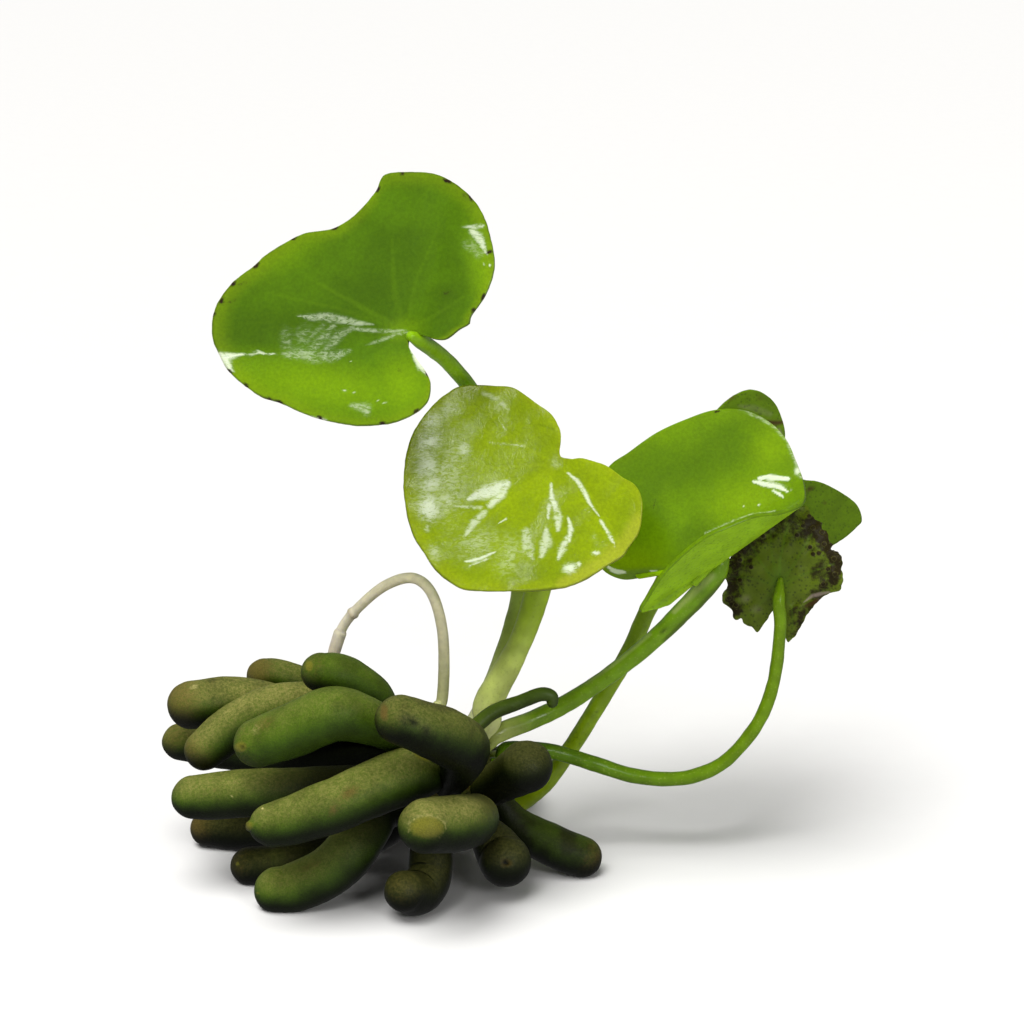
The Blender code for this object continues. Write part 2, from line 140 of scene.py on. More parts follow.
def curve_through(knots: list[Vector], closed: bool = False) -> list[Vector]:
    """Points along the smooth curve through vectors of any size.

    Args:
        knots: The vectors that the curve passes through.
        closed: Whether the curve runs back to its start.

    Returns:
        CURVE_STEPS points for each span.
    """
    count = len(knots)
    line = []
    for index in range(count if closed else count - 1):
        if closed:
            picked = [knots[(index + step) % count] for step in (-1, 0, 1, 2)]
        else:
            picked = [knots[min(max(index + step, 0), count - 1)] for step in (-1, 0, 1, 2)]
        before, start, end, after = picked
        for step in range(CURVE_STEPS):
            t = step / CURVE_STEPS
            line.append(
                0.5 * (2 * start + (end - before) * t
                       + (2 * before - 5 * start + 4 * end - after) * t ** 2
                       + (3 * start - before - 3 * end + after) * t ** 3)
            )
    if not closed:
        line.append(knots[-1])
    return line


def evenly(line: list[Vector], count: int) -> list[tuple[Vector, Vector]]:
    """Stops at even distances along a line.

    Args:
        line: Points, whose first three numbers are their place.
        count: How many stops there are, with one at each end.

    Returns:
        Each stop's point and the way that the line runs there.
    """
    lengths = [0.0]
    for first, second in zip(line, line[1:]):
        lengths.append(lengths[-1] + (second.xyz - first.xyz).length)
    stops = []
    index = 1
    for stop in range(count):
        distance = lengths[-1] * stop / (count - 1)
        while index < len(line) - 1 and lengths[index] < distance:
            index += 1
        span = max(lengths[index] - lengths[index - 1], 1e-9)
        share = (distance - lengths[index - 1]) / span
        way = (line[index].xyz - line[index - 1].xyz).normalized()
        stops.append((line[index - 1].lerp(line[index], share), way))
    return stops


class Mark(Enum):
    """What a mark on a skin is. Each kind has a vertex attribute of this name."""

    TAN = "tan"
    SCAR = "scar"
    PALE = "pale"
    PIT = "pit"
    # On leaf tops the deep kind is partly painted shade and the next kind partly painted light; the kind after it is
    # painted highlight.
    DEEP = "deep"
    BRIGHT_TONE_AND_PAINTED_LIGHT = "bright_tone_and_painted_light"
    PAINTED_HIGHLIGHT = "painted_highlight"
    SPOT = "spot"
    VEIN = "vein"


@dataclass(frozen=True)
class Blot:
    """An oval mark, placed where it is seen from the front.

    Attributes:
        kind: What it is.
        right: Its middle, to the right on the view plane.
        down: Its middle, down the view plane.
        length: Half its length.
        width: Half its width.
        turn: How far its length is turned anticlockwise from the right, in degrees.
        rise: How far it stands out of the skin, or sinks into it where this is below 0.
        strength: How much of it shows.
        edge: How much of it is a soft border.
    """

    kind: Mark
    right: float
    down: float
    length: float
    width: float
    turn: float = 0.0
    rise: float = 0.0
    strength: float = 1.0
    edge: float = 0.6

    def weight(self, right: float, down: float) -> float:
        """How strongly the mark shows at a sight, from 0 to its strength."""
        aside, up = right - self.right, self.down - down
        angle = math.radians(self.turn)
        along = (aside * math.cos(angle) + up * math.sin(angle)) / self.length
        across = (up * math.cos(angle) - aside * math.sin(angle)) / self.width
        return self.strength * smooth(1.0 + self.edge / 2.0, 1.0 - self.edge, math.hypot(along, across))


@dataclass(frozen=True)
class Stroke:
    """A long mark that follows a bent line, such as a vein or a streak of painted highlight.

    Attributes:
        kind: What it is.
        line: The sights that it runs through, each with half its width there.
        strength: How much of it shows.
        rise: How far it stands out of the skin.
        soft: How much of its width is a soft border.
    """

    kind: Mark
    line: tuple[Triple, ...]
    strength: float = 1.0
    rise: float = 0.0
    soft: float = 0.75

    def weight(self, right: float, down: float) -> float:
        """How strongly the stroke shows at a sight, from 0 to its strength."""
        best = 0.0
        for (x1, y1, first), (x2, y2, second) in zip(self.line, self.line[1:]):
            reach = (x2 - x1) ** 2 + (y2 - y1) ** 2
            share = min(max(((right - x1) * (x2 - x1) + (down - y1) * (y2 - y1)) / reach, 0.0), 1.0)
            away = math.hypot(right - x1 - share * (x2 - x1), down - y1 - share * (y2 - y1))
            width = first + (second - first) * share
            best = max(best, smooth(width * (1.0 + self.soft / 2.0), width * (1.0 - self.soft), away))
        return best * self.strength


AnyMark = Blot | Stroke


def add_node(
    tree: bpy.types.NodeTree, kind: str, settings: dict[str, object], sockets: dict[object, object]
) -> bpy.types.Node:
    """Adds a node with its settings, values and links.

    Args:
        tree: The node tree.
        kind: The node's type.
        settings: The node's own options.
        sockets: For each input, by name or number, its value or the output that feeds it.

    Returns:
        The new node.
    """
    node = tree.nodes.new(kind)
    for name, value in settings.items():
        setattr(node, name, value)
    for name, value in sockets.items():
        if isinstance(value, bpy.types.NodeSocket):
            tree.links.new(value, node.inputs[name])
        else:
            node.inputs[name].default_value = value
    return node


RGBA = {"data_type": "RGBA", "blend_type": "MIX", "clamp_factor": True}
SOFT_RANGE = {"interpolation_type": "SMOOTHSTEP", "clamp": True}


@dataclass(frozen=True)
class Finish:
    """What every finish has: a name, a gloss and a wet coat."""

    name: str
    roughness: float = 0.5
    wet: float = 0.2
    wet_roughness: float = 0.15
    depth: float = 0.0
    shine: float = 0.5

    def start(self) -> tuple[bpy.types.Material, bpy.types.NodeTree, bpy.types.Node, bpy.types.NodeSocket]:
        """Starts the material.

        Returns:
            The material, its tree, its shader and the place on the piece in millimetres.
        """
        material = bpy.data.materials.new(self.name)
        material.use_nodes = True
        tree = material.node_tree
        shader = tree.nodes["Principled BSDF"]
        shader.inputs["Roughness"].default_value = self.roughness
        shader.inputs["IOR"].default_value = 1.42
        shader.inputs["Specular IOR Level"].default_value = self.shine
        shader.inputs["Coat Weight"].default_value = self.wet
        shader.inputs["Coat Roughness"].default_value = self.wet_roughness
        shader.inputs["Coat IOR"].default_value = 1.33
        shader.inputs["Subsurface Weight"].default_value = self.depth
        shader.inputs["Subsurface Radius"].default_value = (0.8, 1.0, 0.25)
        shader.inputs["Subsurface Scale"].default_value = 0.6 * MM
        where = add_node(tree, "ShaderNodeTexCoord", {}, {})
        scaled = add_node(
            tree, "ShaderNodeVectorMath", {"operation": "SCALE"}, {0: where.outputs["Object"], "Scale": 1.0 / MM}
        )
        return material, tree, shader, scaled.outputs[0]

    def attribute(self, tree: bpy.types.NodeTree, name: str) -> bpy.types.NodeSocket:
        """The value of one of the mesh's own attributes."""
        return add_node(tree, "ShaderNodeAttribute", {"attribute_name": name}, {}).outputs["Fac"]


@dataclass(frozen=True)
class TuberSkin(Finish):
    """Living tuber skin: smooth dark green, tan at the tip, dusted with mealy grey-olive on top where the paler colour
    is partly painted top light, and with painted shade underneath and towards the crown.
    """

    green: str = "#3D5804"
    dark: str = "#161E03"
    # Mealy grey-olive, partly real meal and partly painted top light on upward-facing skin.
    bloom_and_top_light: str = "#7C7840"
    tan: str = "#584A20"
    scar: str = "#66641E"
    pale: str = "#B7AE70"
    # The colour of painted shade on downward-facing skin and near the crown.
    shade: str = "#060902"
    patch_mm: float = 3.2
    meal_mm: float = 0.3
    grain_mm: float = 0.12

    def material(self) -> bpy.types.Material:
        """Makes the material."""
        material, tree, shader, place = self.start()
        patch = add_node(tree, "ShaderNodeTexNoise", {}, {
            "Vector": place, "Scale": 1.0 / self.patch_mm, "Detail": 3.0, "Roughness": 0.55}).outputs[0]
        meal = add_node(tree, "ShaderNodeTexNoise", {}, {
            "Vector": place, "Scale": 1.0 / self.meal_mm, "Detail": 4.0, "Roughness": 0.7}).outputs[0]
        grain = add_node(tree, "ShaderNodeTexNoise", {}, {
            "Vector": place, "Scale": 1.0 / self.grain_mm, "Detail": 2.0, "Roughness": 0.6}).outputs[0]
        darker = add_node(tree, "ShaderNodeMapRange", SOFT_RANGE, {
            "Value": patch, "From Min": 0.35, "From Max": 0.68}).outputs[0]
        # The dark attribute holds each tuber's own darker green and painted shade towards the crown.
        dark_share = add_node(tree, "ShaderNodeMath", {"operation": "MULTIPLY_ADD", "use_clamp": True}, {
            0: darker, 1: 0.45, 2: self.attribute(tree, "dark")}).outputs[0]
        skin = add_node(tree, "ShaderNodeMix", RGBA, {
            0: dark_share, 6: linear(self.green), 7: linear(self.dark)}).outputs[2]
        speckle = add_node(tree, "ShaderNodeMapRange", SOFT_RANGE, {
            "Value": meal, "From Min": 0.34, "From Max": 0.66, "To Min": 0.4, "To Max": 1.05}).outputs[0]
        patchy = add_node(tree, "ShaderNodeMapRange", SOFT_RANGE, {
            "Value": patch, "From Min": 0.62, "From Max": 0.36, "To Min": 0.7, "To Max": 1.0}).outputs[0]
        dusted = add_node(tree, "ShaderNodeMath", {"operation": "MULTIPLY"}, {
            0: speckle, 1: patchy}).outputs[0]
        # Painted top light: the pale mealy colour is laid on upward-facing skin, partly as real meal.
        bloom_and_top_light_share = add_node(tree, "ShaderNodeMath", {"operation": "MULTIPLY", "use_clamp": True}, {
            0: dusted, 1: self.attribute(tree, "bloom_and_top_light")}).outputs[0]
        skin = add_node(tree, "ShaderNodeMix", RGBA, {
            0: bloom_and_top_light_share, 6: skin, 7: linear(self.bloom_and_top_light)}).outputs[2]
        for name, colour, low in (("tan", self.tan, 0.30), ("scar", self.scar, 0.34), ("pale", self.pale, 0.38)):
            ragged = add_node(tree, "ShaderNodeMath", {"operation": "ADD"}, {
                0: self.attribute(tree, name), 1: meal}).outputs[0]
            share = add_node(tree, "ShaderNodeMapRange", SOFT_RANGE, {
                "Value": ragged, "From Min": low + 0.35, "From Max": low + 0.95}).outputs[0]
            held = add_node(tree, "ShaderNodeMath", {"operation": "MULTIPLY"}, {
                0: share, 1: self.attribute(tree, name)}).outputs[0]
            skin = add_node(tree, "ShaderNodeMix", RGBA, {0: held, 6: skin, 7: linear(colour)}).outputs[2]
        skin = add_node(tree, "ShaderNodeMix", RGBA, {
            0: self.attribute(tree, "pit"), 6: skin, 7: linear("#080A02")}).outputs[2]
        # Painted shade: downward-facing skin and the crowded base are mixed towards near black.
        skin = add_node(tree, "ShaderNodeMix", RGBA, {
            0: self.attribute(tree, "under"), 6: skin, 7: linear(self.shade)}).outputs[2]
        grainy = add_node(tree, "ShaderNodeMapRange", SOFT_RANGE, {
            "Value": grain, "From Min": 0.3, "From Max": 0.7, "To Min": 0.8, "To Max": 1.16}).outputs[0]
        skin = add_node(tree, "ShaderNodeVectorMath", {"operation": "SCALE"}, {
            0: skin, "Scale": grainy}).outputs[0]
        tree.links.new(skin, shader.inputs["Base Color"])
        rough = add_node(tree, "ShaderNodeMapRange", SOFT_RANGE, {
            "Value": bloom_and_top_light_share, "To Min": self.roughness - 0.12, "To Max": self.roughness + 0.2}).outputs[0]
        tree.links.new(rough, shader.inputs["Roughness"])
        fine = add_node(tree, "ShaderNodeBump", {}, {
            "Strength": 0.55, "Distance": 0.05 * MM, "Height": grain}).outputs[0]
        bumped = add_node(tree, "ShaderNodeBump", {}, {
            "Strength": 0.6, "Distance": 0.10 * MM, "Height": meal, "Normal": fine}).outputs[0]
        tree.links.new(bumped, shader.inputs["Normal"])
        return material


@dataclass(frozen=True)
class StalkSkin(Finish):
    """A wet leaf stalk: translucent green that pales towards its foot, with fine raised pale dots and painted
    highlights where marked.
    """

    foot: str = "#8C9246"
    middle: str = "#68800C"
    top: str = "#4A7000"
    dot: str = "#98A448"
    stain: str = "#2A2E06"
    painted_highlight_colour: str = "#A8B070"
    dot_mm: float = 0.36
    dotted: float = 0.28
    foot_end: float = 0.25
    top_start: float = 0.75
    stained: float = 0.25

    def material(self) -> bpy.types.Material:
        """Makes the material."""
        material, tree, shader, place = self.start()
        along = self.attribute(tree, "along")
        cells = add_node(tree, "ShaderNodeTexNoise", {}, {
            "Vector": place, "Scale": 1.0 / 0.55, "Detail": 4.0, "Roughness": 0.65}).outputs[0]
        stretch = add_node(tree, "ShaderNodeTexNoise", {}, {
            "Vector": place, "Scale": 1.0 / 1.8, "Detail": 2.0}).outputs[0]
        low = add_node(tree, "ShaderNodeMapRange", SOFT_RANGE, {
            "Value": along, "From Min": 0.05, "From Max": self.foot_end}).outputs[0]
        high = add_node(tree, "ShaderNodeMapRange", SOFT_RANGE, {
            "Value": along, "From Min": self.foot_end, "From Max": self.top_start}).outputs[0]
        skin = add_node(tree, "ShaderNodeMix", RGBA, {
            0: low, 6: linear(self.foot), 7: linear(self.middle)}).outputs[2]
        skin = add_node(tree, "ShaderNodeMix", RGBA, {
            0: high, 6: skin, 7: linear(self.top)}).outputs[2]
        dots = add_node(tree, "ShaderNodeTexVoronoi", {}, {
            "Vector": place, "Scale": 1.0 / self.dot_mm, "Randomness": 1.0}).outputs["Distance"]
        dotted = add_node(tree, "ShaderNodeMapRange", SOFT_RANGE, {
            "Value": dots, "From Min": 0.36, "From Max": 0.10, "To Max": self.dotted}).outputs[0]
        skin = add_node(tree, "ShaderNodeMix", RGBA, {
            0: dotted, 6: skin, 7: linear(self.dot)}).outputs[2]
        stains = add_node(tree, "ShaderNodeMapRange", SOFT_RANGE, {
            "Value": cells, "From Min": 0.56, "From Max": 0.74, "To Max": self.stained}).outputs[0]
        skin = add_node(tree, "ShaderNodeMix", RGBA, {
            0: stains, 6: skin, 7: linear(self.stain)}).outputs[2]
        # Painted highlight where marked; deep marks and spots mix in the stain colour.
        for name, colour in (("painted_highlight", self.painted_highlight_colour), ("deep", self.stain), ("spot", self.stain)):
            skin = add_node(tree, "ShaderNodeMix", RGBA, {
                0: self.attribute(tree, name), 6: skin, 7: linear(colour)}).outputs[2]
        shaded = add_node(tree, "ShaderNodeMapRange", SOFT_RANGE, {
            "Value": stretch, "From Min": 0.3, "From Max": 0.7, "To Min": 0.86, "To Max": 1.12}).outputs[0]
        skin = add_node(tree, "ShaderNodeVectorMath", {"operation": "SCALE"}, {
            0: skin, "Scale": shaded}).outputs[0]
        tree.links.new(skin, shader.inputs["Base Color"])
        raised = add_node(tree, "ShaderNodeBump", {"invert": True}, {
            "Strength": 0.4, "Distance": 0.05 * MM, "Height": dots}).outputs[0]
        tree.links.new(raised, shader.inputs["Normal"])
        return material


@dataclass(frozen=True)
class RootSkin(Finish):
    """A young water root: smooth cream with faint lengthwise streaks, greener near the crown."""

    near: str = "#B4B67C"
    cream: str = "#D6CFAC"
    far: str = "#D0C8B2"

    def material(self) -> bpy.types.Material:
        """Makes the material."""
        material, tree, shader, place = self.start()
        along = self.attribute(tree, "along")
        streak = add_node(tree, "ShaderNodeTexNoise", {}, {
            "Vector": place, "Scale": 1.0 / 0.7, "Detail": 3.0}).outputs[0]
        risen = add_node(tree, "ShaderNodeMapRange", SOFT_RANGE, {
            "Value": along, "From Min": 0.05, "From Max": 0.42}).outputs[0]
        fallen = add_node(tree, "ShaderNodeMapRange", SOFT_RANGE, {
            "Value": along, "From Min": 0.55, "From Max": 0.95}).outputs[0]
        skin = add_node(tree, "ShaderNodeMix", RGBA, {
            0: risen, 6: linear(self.near), 7: linear(self.cream)}).outputs[2]
        skin = add_node(tree, "ShaderNodeMix", RGBA, {
            0: fallen, 6: skin, 7: linear(self.far)}).outputs[2]
        stained = add_node(tree, "ShaderNodeMix", RGBA, {
            0: self.attribute(tree, "tan"), 6: skin, 7: linear("#8C6B48")}).outputs[2]
        shaded = add_node(tree, "ShaderNodeMapRange", SOFT_RANGE, {
            "Value": streak, "From Min": 0.3, "From Max": 0.7, "To Min": 0.88, "To Max": 1.06}).outputs[0]
        skin = add_node(tree, "ShaderNodeVectorMath", {"operation": "SCALE"}, {
            0: stained, "Scale": shaded}).outputs[0]
        tree.links.new(skin, shader.inputs["Base Color"])
        bumped = add_node(tree, "ShaderNodeBump", {}, {
            "Strength": 0.3, "Distance": 0.04 * MM, "Height": streak}).outputs[0]
        tree.links.new(bumped, shader.inputs["Normal"])
        return material


@dataclass(frozen=True)
class CrownTissue(Finish):
    """The rootstock: rough brown-green tissue with old fibres, and ochre where it shows."""

    brown: str = "#4A3A12"
    green: str = "#4C5A12"
    ochre: str = "#A98A22"

    def material(self) -> bpy.types.Material:
        """Makes the material."""
        material, tree, shader, place = self.start()
        fibres = add_node(tree, "ShaderNodeTexNoise", {}, {
            "Vector": place, "Scale": 1.0 / 0.8, "Detail": 5.0, "Roughness": 0.7, "Distortion": 0.8}).outputs[0]
        share = add_node(tree, "ShaderNodeMapRange", SOFT_RANGE, {
            "Value": fibres, "From Min": 0.35, "From Max": 0.65}).outputs[0]
        skin = add_node(tree, "ShaderNodeMix", RGBA, {
            0: share, 6: linear(self.brown), 7: linear(self.green)}).outputs[2]
        lit = add_node(tree, "ShaderNodeMapRange", SOFT_RANGE, {
            "Value": fibres, "From Min": 0.60, "From Max": 0.78, "To Max": 0.7}).outputs[0]
        skin = add_node(tree, "ShaderNodeMix", RGBA, {
            0: lit, 6: skin, 7: linear(self.ochre)}).outputs[2]
        tree.links.new(skin, shader.inputs["Base Color"])
        bumped = add_node(tree, "ShaderNodeBump", {}, {
            "Strength": 0.8, "Distance": 0.25 * MM, "Height": fibres}).outputs[0]
        tree.links.new(bumped, shader.inputs["Normal"])
        return material


@dataclass(frozen=True)
class LeafUpper(Finish):
    """The waxy upper skin of a floating leaf: wet green with paler veins and a paler margin, with patches of painted
    shade and painted light, and pale crinkled painted highlights.
    """

    deep: str = "#375400"
    middle: str = "#4B6E00"
    bright_tone_and_painted_light: str = "#6C8F00"
    rim: str = "#799304"
    vein: str = "#618506"
    painted_highlight: str = "#CBD5B8"
    spot: str = "#24140C"
    rim_share: float = 0.4
    browned: float = 0.6
    cell_mm: float = 0.3
    cloud_mm: float = 5.0
    wrinkle_mm: float = 0.9
    wrinkle: float = 0.12
    crinkle_mm: float = 0.42

    def material(self) -> bpy.types.Material:
        """Makes the material."""
        material, tree, shader, place = self.start()
        cloud = add_node(tree, "ShaderNodeTexNoise", {}, {
            "Vector": place, "Scale": 1.0 / self.cloud_mm, "Detail": 3.0, "Roughness": 0.6}).outputs[0]
        cells = add_node(tree, "ShaderNodeTexNoise", {}, {
            "Vector": place, "Scale": 1.0 / self.cell_mm, "Detail": 3.0, "Roughness": 0.65}).outputs[0]
        crinkle = add_node(tree, "ShaderNodeTexNoise", {}, {
            "Vector": place, "Scale": 1.0 / self.wrinkle_mm, "Detail": 4.0, "Roughness": 0.6,
            "Distortion": 0.6}).outputs[0]
        share = self.attribute(tree, "share")
        clouded = add_node(tree, "ShaderNodeMapRange", SOFT_RANGE, {
            "Value": cloud, "From Min": 0.36, "From Max": 0.66, "To Max": 0.55}).outputs[0]
        skin = add_node(tree, "ShaderNodeMix", RGBA, {
            0: clouded, 6: linear(self.middle), 7: linear(self.deep)}).outputs[2]
        # Deep patches: painted shade, with some of the leaf's own darker tone.
        deep = self.attribute(tree, "deep")
        skin = add_node(tree, "ShaderNodeMix", RGBA, {0: deep, 6: skin, 7: linear(self.deep)}).outputs[2]
        # Lighter patches: painted light, with some of the leaf's own paler tone.
        bright_tone_and_painted_light = self.attribute(tree, "bright_tone_and_painted_light")
        skin = add_node(tree, "ShaderNodeMix", RGBA, {0: bright_tone_and_painted_light, 6: skin, 7: linear(self.bright_tone_and_painted_light)}).outputs[2]
        edge = add_node(tree, "ShaderNodeMapRange", SOFT_RANGE, {
            "Value": share, "From Min": 0.86, "From Max": 1.0, "To Max": self.rim_share}).outputs[0]
        skin = add_node(tree, "ShaderNodeMix", RGBA, {0: edge, 6: skin, 7: linear(self.rim)}).outputs[2]
        vein = self.attribute(tree, "vein")
        skin = add_node(tree, "ShaderNodeMix", RGBA, {0: vein, 6: skin, 7: linear(self.vein)}).outputs[2]
        mottle = add_node(tree, "ShaderNodeMapRange", SOFT_RANGE, {
            "Value": cells, "From Min": 0.3, "From Max": 0.7, "To Min": 0.88, "To Max": 1.1}).outputs[0]
        skin = add_node(tree, "ShaderNodeVectorMath", {"operation": "SCALE"}, {
            0: skin, "Scale": mottle}).outputs[0]
        # Painted highlights: highlight marks lay a pale crinkled shine over the colour, with a matching bump.
        painted_highlight = self.attribute(tree, "painted_highlight")
        stretched = add_node(tree, "ShaderNodeVectorMath", {"operation": "MULTIPLY"}, {
            0: place, 1: (0.6, 1.0, 1.5)}).outputs[0]
        fold = add_node(tree, "ShaderNodeTexNoise", {}, {
            "Vector": stretched, "Scale": 1.0 / self.crinkle_mm, "Detail": 4.0, "Roughness": 0.65,
            "Distortion": 1.0}).outputs[0]
        torn = add_node(tree, "ShaderNodeMath", {"operation": "MULTIPLY_ADD"}, {0: painted_highlight, 1: 0.26, 2: fold}).outputs[0]
        ridge = add_node(tree, "ShaderNodeMapRange", SOFT_RANGE, {
            "Value": torn, "From Min": 0.46, "From Max": 0.7, "To Min": 0.1, "To Max": 1.12}).outputs[0]
        painted_highlight_share = add_node(tree, "ShaderNodeMath", {"operation": "MULTIPLY", "use_clamp": True}, {
            0: painted_highlight, 1: ridge}).outputs[0]
        skin = add_node(tree, "ShaderNodeMix", RGBA, {0: painted_highlight_share, 6: skin, 7: linear(self.painted_highlight)}).outputs[2]
        spot = self.attribute(tree, "spot")
        rotten = add_node(tree, "ShaderNodeMath", {"operation": "ADD"}, {0: spot, 1: cells}).outputs[0]
        spotted = add_node(tree, "ShaderNodeMapRange", SOFT_RANGE, {
            "Value": rotten, "From Min": 0.68, "From Max": 1.2}).outputs[0]
        skin = add_node(tree, "ShaderNodeMix", RGBA, {0: spotted, 6: skin, 7: linear(self.spot)}).outputs[2]
        browned = add_node(tree, "ShaderNodeMapRange", SOFT_RANGE, {
            "Value": share, "From Min": 0.982, "From Max": 0.998, "To Max": self.browned}).outputs[0]
        brown_share = add_node(tree, "ShaderNodeMath", {"operation": "MULTIPLY"}, {
            0: browned, 1: clouded}).outputs[0]
        skin = add_node(tree, "ShaderNodeMix", RGBA, {0: brown_share, 6: skin, 7: linear(self.spot)}).outputs[2]
        tree.links.new(skin, shader.inputs["Base Color"])
        creased = add_node(tree, "ShaderNodeMath", {"operation": "MULTIPLY"}, {0: fold, 1: painted_highlight}).outputs[0]
        torn_up = add_node(tree, "ShaderNodeBump", {}, {
            "Strength": 0.6, "Distance": 0.12 * MM, "Height": creased}).outputs[0]
        fine = add_node(tree, "ShaderNodeBump", {}, {
            "Strength": 0.25, "Distance": 0.03 * MM, "Height": cells, "Normal": torn_up}).outputs[0]
        bumped = add_node(tree, "ShaderNodeBump", {}, {
            "Strength": self.wrinkle, "Distance": 0.3 * MM, "Height": crinkle, "Normal": fine}).outputs[0]
        tree.links.new(bumped, shader.inputs["Normal"])
        tree.links.new(bumped, shader.inputs["Coat Normal"])
        return material


@dataclass(frozen=True)
class LeafUnder(Finish):
    """The underside of a floating leaf: duller, thickly dotted with glands, purple-brown where aged, and pale with
    painted highlights where marked.
    """

    ground: str = "#80A802"
    dot: str = "#688C06"
    aged: str = "#262006"
    ring: str = "#565426"
    vein: str = "#547A0C"
    # The colour of painted highlights on the underside.
    pale: str = "#A08F84"
    dot_mm: float = 0.4
    speck_mm: float = 0.35
    mould_mm: float = 0.8
    ageing_and_painted_highlight: float = 1.0

    def material(self) -> bpy.types.Material:
        """Makes the material."""
        material, tree, shader, place = self.start()
        cloud = add_node(tree, "ShaderNodeTexNoise", {}, {
            "Vector": place, "Scale": 1.0 / 2.2, "Detail": 4.0, "Roughness": 0.65}).outputs[0]
        dots = add_node(tree, "ShaderNodeTexVoronoi", {}, {
            "Vector": place, "Scale": 1.0 / self.dot_mm, "Randomness": 1.0}).outputs["Distance"]
        dotted = add_node(tree, "ShaderNodeMapRange", SOFT_RANGE, {
            "Value": dots, "From Min": 0.38, "From Max": 0.15, "To Max": 0.75}).outputs[0]
        skin = add_node(tree, "ShaderNodeMix", RGBA, {
            0: dotted, 6: linear(self.ground), 7: linear(self.dot)}).outputs[2]
        deep = self.attribute(tree, "deep")
        mould = add_node(tree, "ShaderNodeTexNoise", {}, {
            "Vector": place, "Scale": 1.0 / self.mould_mm, "Detail": 4.0, "Roughness": 0.7}).outputs[0]
        old = add_node(tree, "ShaderNodeMath", {"operation": "MULTIPLY_ADD"}, {
            0: deep, 1: self.ageing_and_painted_highlight, 2: mould}).outputs[0]
        aged = add_node(tree, "ShaderNodeMapRange", SOFT_RANGE, {
            "Value": old, "From Min": 0.78, "From Max": 1.1}).outputs[0]
        skin = add_node(tree, "ShaderNodeMix", RGBA, {0: aged, 6: skin, 7: linear(self.aged)}).outputs[2]
        lit = add_node(tree, "ShaderNodeMath", {"operation": "MULTIPLY"}, {
            0: self.attribute(tree, "bright_tone_and_painted_light"), 1: 0.6}).outputs[0]
        skin = add_node(tree, "ShaderNodeMix", RGBA, {0: lit, 6: skin, 7: linear(self.vein)}).outputs[2]
        speckle = add_node(tree, "ShaderNodeTexNoise", {}, {
            "Vector": place, "Scale": 1.0 / self.speck_mm, "Detail": 3.0, "Roughness": 0.7}).outputs[0]
        specked = add_node(tree, "ShaderNodeMapRange", SOFT_RANGE, {
            "Value": speckle, "From Min": 0.54, "From Max": 0.68}).outputs[0]
        ringed = add_node(tree, "ShaderNodeMath", {"operation": "MULTIPLY"}, {0: specked, 1: aged}).outputs[0]
        half = add_node(tree, "ShaderNodeMath", {"operation": "MULTIPLY"}, {0: ringed, 1: 0.55}).outputs[0]
        skin = add_node(tree, "ShaderNodeMix", RGBA, {0: half, 6: skin, 7: linear(self.ring)}).outputs[2]
        pock = self.attribute(tree, "pit")
        rimmed = add_node(tree, "ShaderNodeMapRange", SOFT_RANGE, {
            "Value": pock, "From Min": 0.05, "From Max": 0.45, "To Max": 0.5}).outputs[0]
        skin = add_node(tree, "ShaderNodeMix", RGBA, {0: rimmed, 6: skin, 7: linear(self.ring)}).outputs[2]
        holed = add_node(tree, "ShaderNodeMapRange", SOFT_RANGE, {
            "Value": pock, "From Min": 0.5, "From Max": 0.85}).outputs[0]
        skin = add_node(tree, "ShaderNodeMix", RGBA, {0: holed, 6: skin, 7: linear(self.aged)}).outputs[2]
        vein = self.attribute(tree, "vein")
        skin = add_node(tree, "ShaderNodeMix", RGBA, {0: vein, 6: skin, 7: linear(self.vein)}).outputs[2]
        # Painted highlight: highlight marks pale the skin, scaled like the aged patches.
        wear_and_painted_highlight = add_node(tree, "ShaderNodeMath", {"operation": "MULTIPLY"}, {
            0: self.attribute(tree, "painted_highlight"), 1: self.ageing_and_painted_highlight}).outputs[0]
        skin = add_node(tree, "ShaderNodeMix", RGBA, {0: wear_and_painted_highlight, 6: skin, 7: linear(self.pale)}).outputs[2]
        skin = add_node(tree, "ShaderNodeMix", RGBA, {
            0: self.attribute(tree, "spot"), 6: skin, 7: linear("#3A2410")}).outputs[2]
        mottle = add_node(tree, "ShaderNodeMapRange", SOFT_RANGE, {
            "Value": cloud, "From Min": 0.3, "From Max": 0.7, "To Min": 0.84, "To Max": 1.12}).outputs[0]
        skin = add_node(tree, "ShaderNodeVectorMath", {"operation": "SCALE"}, {
            0: skin, "Scale": mottle}).outputs[0]
        tree.links.new(skin, shader.inputs["Base Color"])
        fine = add_node(tree, "ShaderNodeBump", {}, {
            "Strength": 0.5, "Distance": 0.05 * MM, "Height": dots}).outputs[0]
        raised = add_node(tree, "ShaderNodeBump", {}, {
            "Strength": 0.7, "Distance": 0.12 * MM, "Height": ringed, "Normal": fine}).outputs[0]
        tree.links.new(raised, shader.inputs["Normal"])
        return material


@dataclass(frozen=True)
class StudioPaper(Finish):
    """Seamless matte paper under the plant: pale grey, with no gloss."""

    colour: str = "#DFDEDC"

    def material(self) -> bpy.types.Material:
        """Makes the material."""
        material, tree, shader, place = self.start()
        fibre = add_node(tree, "ShaderNodeTexNoise", {}, {
            "Vector": place, "Scale": 1.0 / 3.0, "Detail": 2.0}).outputs[0]
        toned = add_node(tree, "ShaderNodeMapRange", SOFT_RANGE, {
            "Value": fibre, "To Min": 0.985, "To Max": 1.0}).outputs[0]
        sheet = add_node(tree, "ShaderNodeVectorMath", {"operation": "SCALE"}, {
            0: linear(self.colour)[:3], "Scale": toned}).outputs[0]
        tree.links.new(sheet, shader.inputs["Base Color"])
        return material


